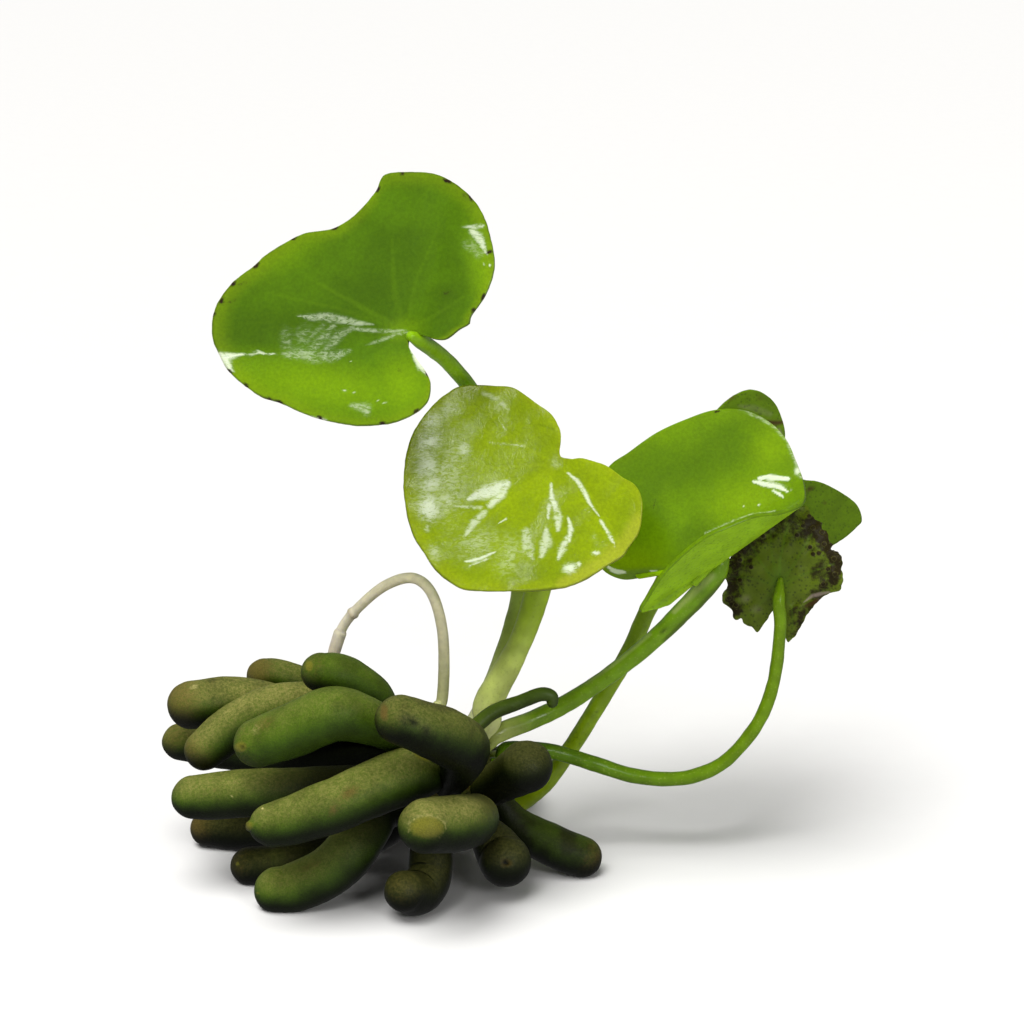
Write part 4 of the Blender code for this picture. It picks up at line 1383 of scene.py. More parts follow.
def stalks() -> list[Stalk]:
    """The slender young tuber and the five leaf stalks."""
    return [
        Stalk("tuber_young", (0.35, -0.45, 0.82), 0.8, (
            (49.2, 71.3, -2.0, 0.78), (52.0, 70.2, -1.5, 0.74), (54.0, 69.45, -1.5, 0.72),
            (55.1, 69.6, -1.5, 0.68), (55.25, 70.2, -1.6, 0.6)),
            StalkSkin("young_tuber_skin", 0.5, 0.1, 0.2, 0.0, foot="#34430A", middle="#3B4C0A", top="#34460A",
                      dot="#4A5A18", stained=0.3),
            "young_tuber_skin"),
        Stalk("stalk_left", (0.45, 0.60, 0.66), 0.95, (
            (48.1, 70.8, 4.5, 0.85), (49.8, 66.8, 5.0, 0.88), (51.2, 62.5, 5.5, 0.85), (52.0, 58.5, 6.0, 0.85),
            (51.6, 52.0, 7.5, 0.85), (50.0, 46.0, 7.5, 0.82), (48.5, 41.5, 6.7, 0.8), (46.9, 38.7, 5.7, 0.8),
            (44.8, 36.2, 3.2, 0.8), (43.1, 34.8, 0.8, 0.8), (41.9, 34.0, -1.2, 0.78), (41.1, 33.6, -2.2, 0.5)),
            StalkSkin("left_stalk_skin", 0.3, 0.25, 0.15, 0.2, foot="#C9CF98", middle="#A2B84C", top="#76A008")),
        Stalk("stalk_middle", (0.60, 0.10, 0.79), 1.45, (
            (48.8, 70.3, 1.0, 1.5), (50.6, 67.0, 1.0, 1.35), (52.2, 63.8, 1.0, 1.2), (53.5, 60.0, 1.6, 1.3),
            (54.4, 56.0, 2.6, 1.35), (54.9, 51.0, 3.2, 1.2), (55.1, 47.8, 2.0, 1.1), (55.2, 46.9, 0.8, 0.9)),
            # Its pale colours are partly its own and partly painted light, standing in for light shining through it in
            # the shade of leaf_middle.
            StalkSkin("middle_stalk_skin", 0.35, 0.2, 0.15, 0.25, foot="#CCD28C", middle="#C4D070", top="#94AE1C",
                      foot_end=0.2, top_start=0.5)),
        Stalk("stalk_folded", (0.82, 0.15, 0.57), 1.0, (
            (55.0, 71.2, 3.3, 0.95), (60.0, 68.2, 3.5, 0.9), (65.0, 64.3, 3.0, 0.95),
            (69.0, 60.4, 2.0, 1.05), (70.7, 58.5, 1.5, 1.12), (71.7, 57.1, 1.2, 1.12), (72.2, 55.9, 1.2, 0.8)),
            StalkSkin("folded_stalk_skin", 0.3, 0.25, 0.12, 0.15, foot="#A8B45C", middle="#66880A", top="#688F04",
                      foot_end=0.22), marks=(
                # Painted highlights down the stalk.
                Stroke(Mark.PAINTED_HIGHLIGHT, ((67.4, 61.2, 0.25), (69.6, 59.0, 0.45), (71.2, 57.6, 0.4)), 0.45),
                Stroke(Mark.PAINTED_HIGHLIGHT, ((58.6, 68.4, 0.1), (62.0, 66.0, 0.2), (65.0, 63.4, 0.15)), 0.35),
                Blot(Mark.SPOT, 66.3, 63.1, 0.5, 0.25, 45.0, strength=0.7, edge=1.0),
                Stroke(Mark.DEEP, ((66.6, 64.0, 0.3), (70.0, 60.8, 0.4), (72.4, 58.2, 0.4)), 0.6))),
        Stalk("stalk_hidden", (0.78, 0.60, -0.15), 1.0, (
            (49.8, 81.8, 5.5, 1.0), (52.0, 80.4, 6.0, 0.95), (54.6, 78.2, 6.0, 0.95), (57.1, 74.8, 6.5, 0.9),
            (60.2, 69.8, 7.0, 0.9), (63.0, 65.0, 8.0, 0.9), (64.9, 60.8, 8.7, 0.9), (68.0, 55.5, 10.0, 0.85),
            (72.5, 50.3, 11.1, 0.8), (75.6, 47.4, 12.1, 0.8), (76.1, 47.0, 13.0, 0.75)),
            # Its top colour is partly its own and partly painted light, where leaf_folded shades it.
            StalkSkin("hidden_stalk_skin", 0.35, 0.2, 0.15, 0.15, foot="#7C8C14", middle="#84980E", top="#7E9C06",
                      foot_end=0.15, top_start=0.5, stained=0.4)),
        Stalk("stalk_dark", (0.98, 0.12, 0.02), 0.85, (
            (50.5, 75.0, 1.5, 0.85), (54.9, 75.1, 3.0, 0.8), (59.5, 76.4, 3.0, 0.8), (63.0, 77.5, 3.0, 0.78),
            (66.4, 77.9, 3.0, 0.76), (69.7, 77.5, 3.0, 0.74), (72.9, 75.8, 3.0, 0.7), (75.9, 72.1, 3.0, 0.68),
            (77.4, 68.0, 3.0, 0.66), (78.0, 63.0, 2.8, 0.65), (77.9, 60.4, 2.8, 0.63), (77.95, 59.3, 3.3, 0.55),
            (78.05, 58.0, 4.05, 0.3)),
            StalkSkin("dark_stalk_skin", 0.3, 0.12, 0.12, 0.15, 0.3, foot="#5C8008", middle="#4C6C0A", top="#68880C",
                      foot_end=0.1, top_start=0.9)),
    ]


def pale_root() -> PaleRoot:
    """The one thin root that shows."""
    return PaleRoot("root_pale", (-0.20, 0.10, 0.97), 0.6, (
        (44.2, 70.0, 1.5, 0.6), (44.4, 66.4, 1.2, 0.58), (44.2, 62.8, 1.0, 0.56), (43.4, 59.8, 1.2, 0.55),
        (42.2, 58.2, 1.8, 0.55), (40.6, 57.8, 2.6, 0.55), (38.3, 58.7, 3.5, 0.54), (36.0, 60.6, 4.5, 0.52),
        (34.4, 62.5, 5.0, 0.52), (33.6, 64.6, 5.0, 0.5), (33.0, 66.8, 5.0, 0.45)))


def flat(points: tuple[tuple[float, float], ...]) -> tuple[Triple, ...]:
    """Sights of a margin whose depth the leaf works out itself."""
    return tuple((right, down, 0.0) for right, down in points)


def leaf_left(green: Finish, under: Finish) -> Leaf:
    """The upper left leaf, with dark purple nicks in its margin and painted shine along its soft fold."""
    vein, painted_highlight, spot, deep, bright_tone_and_painted_light = Mark.VEIN, Mark.PAINTED_HIGHLIGHT, Mark.SPOT, Mark.DEEP, Mark.BRIGHT_TONE_AND_PAINTED_LIGHT
    nicks = tuple(
        Blot(spot, right, down, 1.15 * length, 0.26, turn, strength=0.95, edge=1.3)
        for right, down, length, turn in (
            (40.2, 17.35, 0.3, 100), (44.7, 18.1, 0.5, -30), (47.1, 19.8, 0.45, -60), (48.95, 25.2, 0.4, 20),
            (48.3, 29.7, 0.4, 60), (47.3, 31.0, 0.3, 60), (42.7, 37.4, 0.35, 110), (41.6, 41.1, 0.35, 30),
            (38.2, 42.3, 0.4, 10), (32.0, 41.75, 0.4, -20), (27.9, 40.15, 0.4, -20), (26.9, 39.85, 0.3, -30),
            (24.6, 38.5, 0.35, -40), (22.9, 37.1, 0.4, -50), (22.15, 30.1, 0.45, 55), (23.3, 28.4, 0.4, 50),
            (25.6, 26.6, 0.5, 45), (29.4, 23.8, 0.4, 20), (33.5, 22.8, 0.45, 15), (37.8, 18.9, 0.4, 60),
            (25.4, 26.3, 0.3, 40), (21.4, 31.4, 0.3, 80), (22.6, 37.5, 0.3, -60)))
    stains = tuple(
        Blot(spot, right, down, length, width, turn, strength=0.42, edge=1.4)
        for right, down, length, width, turn in (
            (36.2, 22.1, 0.7, 0.3, 20), (24.2, 28.4, 1.2, 0.4, 30), (23.2, 30.1, 1.1, 0.4, 25),
            (40.0, 37.0, 0.4, 0.5, 80), (46.5, 19.6, 1.2, 0.5, -45), (44.6, 29.4, 1.0, 0.6, 20)))
    return OpenLeaf("leaf_left", "leaf_green", (39.0, 32.4, -1.6), flat((
        (40.4, 17.2), (43.1, 17.3), (44.9, 18.0), (46.7, 19.3), (48.0, 20.9), (48.8, 22.9), (49.4, 26.4),
        (48.6, 29.3), (47.1, 31.5), (46.9, 32.3), (45.9, 32.9), (44.7, 33.8), (43.7, 33.9), (42.6, 33.6),
        (41.3, 33.4), (40.8, 34.4), (41.6, 35.8), (42.7, 37.4), (43.0, 38.5), (42.7, 40.1), (41.4, 41.3),
        (39.6, 42.1), (38.0, 42.4), (35.5, 42.5), (32.2, 41.9), (30.6, 41.4), (28.0, 40.2), (26.1, 39.6),
        (24.1, 38.2), (22.7, 36.8), (22.0, 35.6), (21.3, 34.0), (21.2, 32.3), (21.5, 30.9), (22.0, 29.9),
        (23.3, 28.2), (25.5, 26.5), (26.7, 25.4), (29.2, 23.9), (30.6, 23.3), (33.1, 22.9), (34.7, 22.1),
        (36.1, 20.9), (37.6, 19.1), (38.0, 18.1), (38.6, 17.4))),
        green, under,
        creases=(
            Crease((40.0, 33.6), (22.0, 35.5), 1.9, 0.38),
            Crease((41.0, 32.8), (44.5, 20.0), 2.2, 0.25)),
        # Deep marks are painted shade and lighter marks painted light, each with some of the leaf's own tone; highlight
        # marks are painted highlights.
        marks=(
            Blot(deep, 38.5, 28.0, 8.0, 4.2, 40.0, strength=0.7, edge=1.2),
            Blot(deep, 45.0, 29.5, 2.6, 2.0, 30.0, strength=0.75, edge=1.2),
            Blot(deep, 30.0, 31.8, 8.5, 1.9, 8.0, strength=0.75, edge=1.2),
            Blot(deep, 24.5, 33.5, 4.0, 1.7, 0.0, strength=0.6, edge=1.2),
            Blot(bright_tone_and_painted_light, 32.0, 38.6, 11.5, 2.8, -8.0, strength=0.85, edge=0.9),
            Blot(bright_tone_and_painted_light, 40.3, 38.6, 3.2, 3.4, 0.0, strength=0.9, edge=0.9),
            Blot(bright_tone_and_painted_light, 48.4, 27.0, 1.6, 5.0, 10.0, strength=0.8, edge=1.2),
            Blot(bright_tone_and_painted_light, 40.4, 33.0, 2.0, 1.2, 10.0, strength=0.7, edge=1.2),
            Blot(bright_tone_and_painted_light, 28.5, 25.8, 6.0, 1.4, 30.0, strength=0.4, edge=1.2),
            Stroke(painted_highlight, ((29.66, 31.54, 0.1), (31.1, 31.73, 0.36), (32.63, 31.73, 0.55), (34.16, 31.98, 0.48),
                          (35.69, 32.3, 0.36), (37.32, 32.46, 0.1)), 0.42),
            Blot(painted_highlight, 28.7, 34.0, 0.7, 1.3, 5.0, strength=0.26, edge=1.0),
            Blot(painted_highlight, 30.4, 33.6, 0.9, 1.2, -20.0, strength=0.26, edge=1.0),
            Stroke(painted_highlight, ((28.42, 35.5, 0.3), (29.95, 35.4, 0.7), (31.48, 35.6, 0.75), (33.39, 35.6, 0.6),
                          (34.92, 35.1, 0.25)), 0.34),
            Stroke(painted_highlight, ((30.9, 35.3, 0.4), (32.25, 33.8, 0.55), (33.39, 32.5, 0.3)), 0.3),
            Stroke(painted_highlight, ((32.6, 35.1, 0.4), (34.0, 33.4, 0.55), (35.3, 32.8, 0.2)), 0.3),
            Stroke(painted_highlight, ((29.6, 35.2, 0.3), (31.3, 33.4, 0.3), (32.4, 32.5, 0.2)), 0.2),
            Stroke(painted_highlight, ((34.92, 32.74, 0.2), (36.65, 33.03, 0.25), (38.75, 33.13, 0.2), (40.6, 33.0, 0.1)), 0.36),
            Stroke(painted_highlight, ((36.65, 34.47, 0.1), (38.18, 33.99, 0.25), (39.5, 33.5, 0.25), (40.85, 33.2, 0.15)), 0.3),
            Stroke(painted_highlight, ((21.6, 35.5, 0.5), (22.4, 35.8, 0.62), (23.1, 35.6, 0.36), (24.2, 35.45, 0.12)), 0.95),
            Stroke(painted_highlight, ((22.4, 35.8, 0.55), (22.8, 36.6, 0.42), (23.2, 37.1, 0.15)), 0.9),
            Stroke(painted_highlight, ((24.0, 35.5, 0.12), (25.0, 35.42, 0.1), (25.9, 35.2, 0.16), (26.4, 35.4, 0.1),
                          (27.75, 35.37, 0.07)), 0.8),
            Stroke(painted_highlight, ((46.3, 22.7, 0.1), (47.36, 22.7, 0.26), (48.3, 22.6, 0.2)), 0.6),
            Stroke(painted_highlight, ((47.2, 23.1, 0.35), (47.9, 23.75, 0.5), (48.3, 24.6, 0.35), (48.7, 25.4, 0.12)), 0.72),
            Stroke(painted_highlight, ((46.8, 24.4, 0.6), (47.9, 25.3, 0.6)), 0.22),
            Blot(painted_highlight, 48.45, 26.43, 0.12, 0.12, strength=0.9),
            Blot(painted_highlight, 49.0, 26.5, 0.12, 0.2, strength=0.9),
            Stroke(painted_highlight, ((41.0, 34.6, 0.15), (41.5, 35.6, 0.3), (42.1, 36.6, 0.5), (42.6, 37.3, 0.2)), 0.8),
            Blot(painted_highlight, 34.45, 39.1, 0.26, 0.09, -15.0, strength=0.95),
            Blot(painted_highlight, 35.4, 39.3, 0.2, 0.08, -10.0, strength=0.85),
            Blot(painted_highlight, 37.8, 40.1, 0.16, 0.1, strength=0.75),
            Blot(painted_highlight, 38.46, 40.3, 0.14, 0.1, strength=0.75),
            Blot(painted_highlight, 35.1, 36.1, 0.1, 0.1, strength=0.6),
            Stroke(painted_highlight, ((35.3, 40.6, 0.35), (36.65, 40.8, 0.55), (36.74, 41.4, 0.3)), 0.4),
            Stroke(painted_highlight, ((31.2, 41.75, 0.18), (32.4, 41.95, 0.16)), 0.8),
            Stroke(vein, ((40.4, 33.0, 0.35), (37.0, 31.2, 0.35), (31.8, 28.3, 0.15)), 0.24),
            Stroke(vein, ((40.4, 33.0, 0.3), (39.4, 29.0, 0.35), (39.2, 24.0, 0.15)), 0.17),
            Stroke(vein, ((40.6, 33.0, 0.3), (41.6, 28.0, 0.2), (44.0, 22.5, 0.15)), 0.14),
            Stroke(vein, ((40.4, 33.0, 0.3), (34.0, 30.9, 0.2), (27.0, 29.3, 0.15)), 0.14),
            Stroke(vein, ((40.0, 33.6, 0.3), (36.0, 37.0, 0.2), (30.0, 39.4, 0.15)), 0.14),
            Stroke(vein, ((40.6, 33.2, 0.3), (44.0, 31.2, 0.2), (47.4, 29.0, 0.15)), 0.14),
        ) + nicks + stains,
        lean_up=0.45, lean_right=-0.10, dish=1.2, reach=18.7)


def leaf_middle(yellow: Finish, under: Finish) -> Leaf:
    """The middle leaf, yellow-green and blistered, with wide crinkled painted shine down its left side."""
    vein, painted_highlight, deep, bright_tone_and_painted_light = Mark.VEIN, Mark.PAINTED_HIGHLIGHT, Mark.DEEP, Mark.BRIGHT_TONE_AND_PAINTED_LIGHT
    return OpenLeaf("leaf_middle", "leaf_yellow_green", (52.6, 48.0, -0.9), flat((
        (46.1, 38.6), (48.0, 38.5), (49.7, 38.6), (51.1, 38.7), (52.1, 39.2), (53.6, 40.3), (55.0, 41.3),
        (55.7, 42.3), (56.1, 43.5), (56.0, 45.5), (56.9, 45.9), (58.1, 45.8), (59.3, 46.1), (60.7, 46.6),
        (62.2, 47.7), (63.5, 48.5), (64.2, 49.9), (64.2, 51.6), (63.8, 53.4), (62.8, 54.7), (62.1, 55.6),
        (60.5, 56.6), (58.8, 57.7), (57.1, 58.5), (55.5, 58.8), (51.1, 59.1), (49.3, 59.1), (47.6, 59.0),
        (46.2, 58.8), (44.9, 58.0), (43.3, 56.5), (41.9, 54.4), (41.1, 52.5), (40.6, 50.4), (40.4, 48.0),
        (40.6, 46.0), (40.9, 44.4), (41.4, 43.2), (42.3, 41.7), (43.5, 40.3), (44.9, 39.2))),
        yellow, under,
        creases=(
            Crease((55.4, 46.6), (44.0, 52.0), 1.5, 0.28),
            Crease((55.4, 46.6), (51.0, 57.5), 1.3, -0.25),
            Crease((56.5, 46.8), (61.5, 54.5), 1.2, 0.3)),
        # Deep marks are painted shade and lighter marks painted light, each with some of the leaf's own tone; highlight
        # marks are painted highlights.
        marks=(
            Blot(painted_highlight, 43.1, 42.2, 1.3, 1.0, 50.0, strength=0.53, edge=1.0),
            Blot(painted_highlight, 42.9, 44.2, 1.5, 1.1, 20.0, strength=0.7, edge=1.0),
            Blot(painted_highlight, 42.8, 46.6, 1.5, 1.6, 0.0, strength=0.7, edge=1.0),
            Blot(painted_highlight, 44.6, 46.9, 1.1, 1.2, 0.0, strength=0.45, edge=1.2),
            Blot(painted_highlight, 43.0, 48.4, 1.6, 1.0, 20.0, strength=0.66, edge=1.0),
            Blot(painted_highlight, 42.9, 50.7, 1.3, 1.7, 10.0, strength=0.82, edge=0.9),
            Blot(painted_highlight, 44.6, 50.0, 1.0, 1.0, 0.0, strength=0.49, edge=1.2),
            Blot(painted_highlight, 42.7, 52.8, 0.35, 0.4, strength=0.66, edge=1.0),
            Blot(painted_highlight, 46.4, 45.0, 0.8, 1.0, 20.0, strength=0.61, edge=1.2),
            Stroke(painted_highlight, ((46.8, 49.9, 0.2), (48.1, 49.4, 0.7), (49.5, 49.0, 1.0), (50.6, 48.4, 0.5)), 0.78),
            Stroke(painted_highlight, ((49.0, 50.5, 0.4), (50.2, 49.4, 0.5), (50.9, 48.2, 0.15)), 0.7),
            Stroke(painted_highlight, ((48.45, 51.26, 0.35), (47.3, 52.4, 0.5), (46.5, 53.6, 0.15)), 0.55),
            Stroke(painted_highlight, ((45.5, 50.6, 0.1), (48.1, 50.8, 0.25)), 0.47),
            Stroke(painted_highlight, ((49.9, 52.3, 0.06), (50.6, 51.9, 0.12)), 0.78),
            Stroke(painted_highlight, ((55.1, 48.3, 0.1), (55.17, 49.77, 0.32), (55.5, 50.6, 0.4)), 0.78),
            Stroke(painted_highlight, ((54.9, 50.6, 0.3), (54.8, 51.8, 0.15)), 0.7),
            Stroke(painted_highlight, ((55.5, 50.6, 0.4), (55.8, 51.8, 0.55), (55.8, 53.0, 0.25)), 0.62),
            Stroke(painted_highlight, ((56.8, 51.7, 0.12), (57.1, 52.9, 0.32), (56.9, 54.1, 0.2)), 0.74),
            Stroke(painted_highlight, ((56.7, 53.75, 0.25), (56.25, 54.9, 0.5), (55.8, 55.9, 0.2)), 0.66),
            Stroke(painted_highlight, ((54.6, 52.9, 0.25), (54.6, 54.2, 0.7), (54.1, 55.6, 0.3)), 0.58),
            Stroke(painted_highlight, ((52.6, 53.2, 0.5), (52.8, 54.9, 0.8), (53.3, 55.9, 0.2)), 0.47),
            Stroke(painted_highlight, ((56.8, 47.3, 0.12), (57.74, 48.1, 0.26), (58.4, 49.1, 0.28), (59.0, 50.4, 0.2),
                          (59.9, 51.6, 0.07)), 0.78),
            Stroke(painted_highlight, ((60.1, 52.1, 0.2), (60.56, 52.9, 0.18), (61.06, 53.75, 0.22), (61.55, 54.6, 0.07)), 0.78),
            Blot(painted_highlight, 59.56, 55.3, 0.5, 0.22, strength=0.82, edge=0.5),
            Blot(painted_highlight, 57.0, 56.8, 0.9, 0.6, 10.0, strength=0.82, edge=0.7),
            Blot(painted_highlight, 57.9, 56.4, 0.3, 0.3, strength=0.74, edge=0.7),
            Blot(painted_highlight, 59.4, 53.75, 0.35, 0.35, strength=0.41, edge=1.2),
            Stroke(painted_highlight, ((46.5, 56.2, 0.15), (47.8, 55.9, 0.22), (49.5, 55.2, 0.12)), 0.78),
            Stroke(painted_highlight, ((46.9, 56.6, 0.1), (48.7, 55.9, 0.12)), 0.62),
            Blot(painted_highlight, 47.6, 54.4, 2.6, 1.9, 10.0, strength=0.36, edge=1.4),
            Blot(painted_highlight, 50.9, 55.6, 1.6, 2.2, 0.0, strength=0.33, edge=1.4),
            Blot(painted_highlight, 43.5, 55.3, 0.7, 1.1, 20.0, strength=0.41, edge=1.4),
            Blot(painted_highlight, 45.0, 47.5, 1.9, 5.5, 0.0, strength=0.36, edge=1.4),
            Blot(painted_highlight, 44.8, 40.8, 1.8, 1.0, 30.0, strength=0.37, edge=1.4),
            Stroke(painted_highlight, ((48.4, 39.3, 0.3), (49.6, 39.9, 0.35), (50.8, 40.9, 0.2)), 0.35),
            Stroke(painted_highlight, ((48.8, 44.2, 0.06), (52.4, 44.6, 0.14)), 0.47),
            Stroke(painted_highlight, ((50.1, 42.3, 0.06), (50.5, 43.0, 0.12)), 0.55),
            Stroke(bright_tone_and_painted_light, ((63.9, 52.1, 0.9), (62.7, 54.4, 1.2), (60.7, 56.2, 1.3), (58.2, 57.7, 1.1),
                            (56.1, 58.4, 0.6)), 0.8),
            Blot(deep, 62.0, 53.6, 0.6, 0.2, 60.0, strength=0.9, edge=1.0, rise=-0.1),
            Stroke(deep, ((53.9, 42.4, 0.12), (55.3, 42.9, 0.14)), 0.9),
            Blot(deep, 52.6, 50.6, 1.0, 1.3, 30.0, strength=0.5, edge=1.2),
            Blot(deep, 47.5, 57.5, 4.0, 1.2, -8.0, strength=0.5, edge=1.2),
            Blot(deep, 53.5, 57.2, 2.2, 1.0, 0.0, strength=0.6, edge=1.2),
            Blot(deep, 57.5, 48.0, 4.5, 1.0, -25.0, strength=0.35, edge=1.2),
            Stroke(vein, ((55.4, 46.4, 0.3), (51.0, 43.8, 0.15), (47.0, 42.5, 0.08)), 0.25),
            Stroke(vein, ((55.4, 46.4, 0.3), (50.0, 46.8, 0.15), (42.5, 46.0, 0.08)), 0.25),
            Stroke(vein, ((55.4, 46.4, 0.3), (49.0, 51.5, 0.15), (44.0, 55.5, 0.08)), 0.25),
            Stroke(vein, ((55.4, 46.4, 0.3), (54.0, 52.5, 0.15), (52.0, 58.5, 0.08)), 0.25),
            Stroke(vein, ((55.8, 46.6, 0.3), (59.5, 50.0, 0.15), (61.8, 53.8, 0.08)), 0.25)),
        lean_up=0.45, lean_right=0.05, dish=1.4, reach=14.3, ripple=0.22, ripple_mm=2.2)


def leaf_folded(bright_green: Finish, under: Finish) -> Leaf:
    """The leaf on the right, rolled forward so that a flap of its underside shows."""
    painted_highlight, spot, deep, bright_tone_and_painted_light = Mark.PAINTED_HIGHLIGHT, Mark.SPOT, Mark.DEEP, Mark.BRIGHT_TONE_AND_PAINTED_LIGHT
    return Leaf("leaf_folded", "leaf_green", (71.0, 56.6, 0.2), (
        (68.4, 57.1, 0.8), (66.6, 57.1, 1.2), (65.3, 57.3, 1.6), (63.7, 57.85, 2.0), (62.0, 57.9, 2.4),
        (60.2, 56.9, 3.0), (59.1, 54.6, 4.4), (59.2, 50.6, 6.0), (60.7, 46.9, 7.5), (62.9, 45.2, 8.2),
        (65.6, 43.3, 9.0), (68.4, 42.0, 9.6), (71.4, 41.0, 9.8), (74.3, 41.0, 9.2), (76.8, 42.1, 8.2),
        (78.6, 43.9, 6.8), (79.6, 46.1, 5.2), (80.3, 48.3, 3.2), (80.1, 50.1, 0.8), (77.8, 51.1, -2.2),
        (75.4, 51.4, -4.0), (72.8, 52.4, -5.0), (70.4, 53.5, -5.5), (68.2, 55.2, -5.4), (66.2, 57.2, -5.0),
        (64.8, 59.3, -4.4), (63.9, 61.0, -3.8), (65.6, 60.9, -3.1), (67.4, 59.6, -2.0), (69.4, 58.2, -0.9)),
        bright_green, under,
        # Deep marks are painted shade and lighter marks painted light, each with some of the leaf's own tone; highlight
        # marks are painted highlights, brightest on the right.
        marks=(
            Blot(deep, 70.0, 46.2, 5.5, 2.6, 30.0, strength=0.8, edge=1.2),
            Blot(deep, 72.0, 43.5, 3.0, 1.4, 20.0, strength=0.6, edge=1.2),
            Blot(deep, 64.5, 51.0, 2.0, 4.0, -15.0, strength=0.7, edge=1.2),
            Blot(bright_tone_and_painted_light, 75.0, 50.0, 4.5, 2.4, 20.0, strength=0.8, edge=1.2),
            Blot(bright_tone_and_painted_light, 63.0, 56.4, 3.8, 1.7, 0.0, strength=0.95, edge=1.2),
            Blot(bright_tone_and_painted_light, 77.0, 45.0, 2.0, 2.5, -30.0, strength=0.6, edge=1.2),
            Stroke(painted_highlight, ((75.9, 47.85, 0.2), (76.9, 47.72, 0.3), (78.8, 47.85, 0.24)), 1.0, soft=0.4),
            Stroke(painted_highlight, ((75.3, 48.15, 0.14), (76.4, 48.4, 0.3), (77.4, 48.6, 0.24)), 1.0, soft=0.4),
            Stroke(painted_highlight, ((77.1, 48.5, 0.2), (78.0, 48.75, 0.26), (78.75, 49.15, 0.14)), 0.95, soft=0.4),
            Stroke(painted_highlight, ((77.3, 49.05, 0.12), (78.0, 49.45, 0.2), (78.3, 49.7, 0.1)), 0.9, soft=0.4),
            Blot(painted_highlight, 77.3, 48.35, 1.3, 0.42, -20.0, strength=0.6, edge=1.0),
            Blot(painted_highlight, 79.1, 48.95, 0.12, 0.1, strength=0.8),
            Stroke(painted_highlight, ((78.5, 43.2, 0.15), (79.2, 45.0, 0.35), (79.9, 46.6, 0.4), (80.1, 47.6, 0.3)), 0.45),
            Blot(painted_highlight, 79.8, 47.1, 0.4, 0.45, -20.0, strength=0.85, edge=0.8),
            Stroke(painted_highlight, ((73.9, 41.0, 0.08), (74.9, 41.25, 0.14), (76.1, 41.8, 0.16), (77.6, 42.8, 0.16),
                          (78.4, 43.8, 0.12)), 0.45),
            Stroke(painted_highlight, ((60.7, 56.6, 0.12), (61.2, 57.0, 0.24), (61.8, 57.2, 0.26), (62.4, 57.2, 0.18)), 0.95,
                   soft=0.4),
            Stroke(painted_highlight, ((65.1, 57.1, 0.1), (65.7, 57.2, 0.2)), 0.85, soft=0.4),
            Stroke(painted_highlight, ((70.5, 53.35, 0.08), (72.8, 52.3, 0.13), (75.1, 51.45, 0.1), (77.5, 51.1, 0.08)), 0.4),
            Blot(painted_highlight, 74.4, 50.6, 0.12, 0.1, strength=1.1),
            Blot(painted_highlight, 75.9, 50.5, 0.12, 0.1, strength=1.1),
            Stroke(spot, ((65.6, 49.9, 0.08), (65.3, 50.8, 0.12)), 0.45),
            Blot(spot, 71.7, 41.2, 0.4, 0.16, 10.0, strength=0.8, edge=1.0),
            Blot(spot, 65.9, 57.4, 0.3, 0.2, strength=0.9, edge=1.0),
            Blot(spot, 73.1, 52.4, 0.3, 0.2, 20.0, strength=0.6, edge=1.0)),
        ripple=0.05, thin=0.35, ragged=0.0)


def leaf_hidden(olive: Finish, green: Finish) -> Leaf:
    """The leaf behind, which shows its olive underside above and beside the folded one."""
    painted_highlight, spot, deep, bright_tone_and_painted_light = Mark.PAINTED_HIGHLIGHT, Mark.SPOT, Mark.DEEP, Mark.BRIGHT_TONE_AND_PAINTED_LIGHT
    return OpenLeaf("leaf_hidden", "leaf_green", (76.3, 47.6, 13.6), flat((
        (77.9, 45.9), (78.5, 43.9), (78.3, 42.2), (77.4, 40.2), (75.8, 39.1), (74.2, 39.2), (72.4, 40.4),
        (70.8, 42.4), (69.8, 45.0), (69.7, 48.0), (70.6, 51.0), (72.6, 53.6), (75.4, 55.4), (78.3, 56.1),
        (81.0, 55.8), (83.2, 54.6), (84.6, 53.7), (85.6, 52.8), (86.2, 52.0), (85.7, 50.5), (84.2, 49.3),
        (82.4, 48.4), (80.4, 48.0), (78.8, 47.2))),
        olive, green,
        # Highlight marks are painted highlights along the margin.
        marks=(
            Stroke(spot, ((76.4, 42.1, 0.15), (77.6, 42.3, 0.3), (78.5, 42.2, 0.2)), 0.9),
            Blot(spot, 73.2, 39.8, 0.5, 0.2, 40.0, strength=0.7, edge=1.2),
            Blot(spot, 76.0, 39.8, 0.4, 0.3, 0.0, strength=0.4, edge=1.2),
            Blot(spot, 81.0, 48.9, 0.5, 0.25, 30.0, strength=0.8, edge=1.0),
            Blot(spot, 82.5, 50.3, 0.2, 0.2, 0.0, strength=0.6, edge=1.0),
            Stroke(painted_highlight, ((74.0, 40.6, 0.2), (75.4, 40.8, 0.4), (77.0, 41.4, 0.3)), 0.1),
            Stroke(painted_highlight, ((77.9, 43.0, 0.2), (78.4, 44.2, 0.3), (78.6, 45.6, 0.2)), 0.25),
            Blot(bright_tone_and_painted_light, 83.5, 51.5, 2.6, 2.6, 0.0, strength=0.5, edge=1.2),
            Blot(deep, 74.6, 40.4, 2.4, 1.2, 20.0, strength=0.3, edge=1.2)),
        lean_up=0.10, lean_right=0.20, dish=-0.5, reach=10.8)


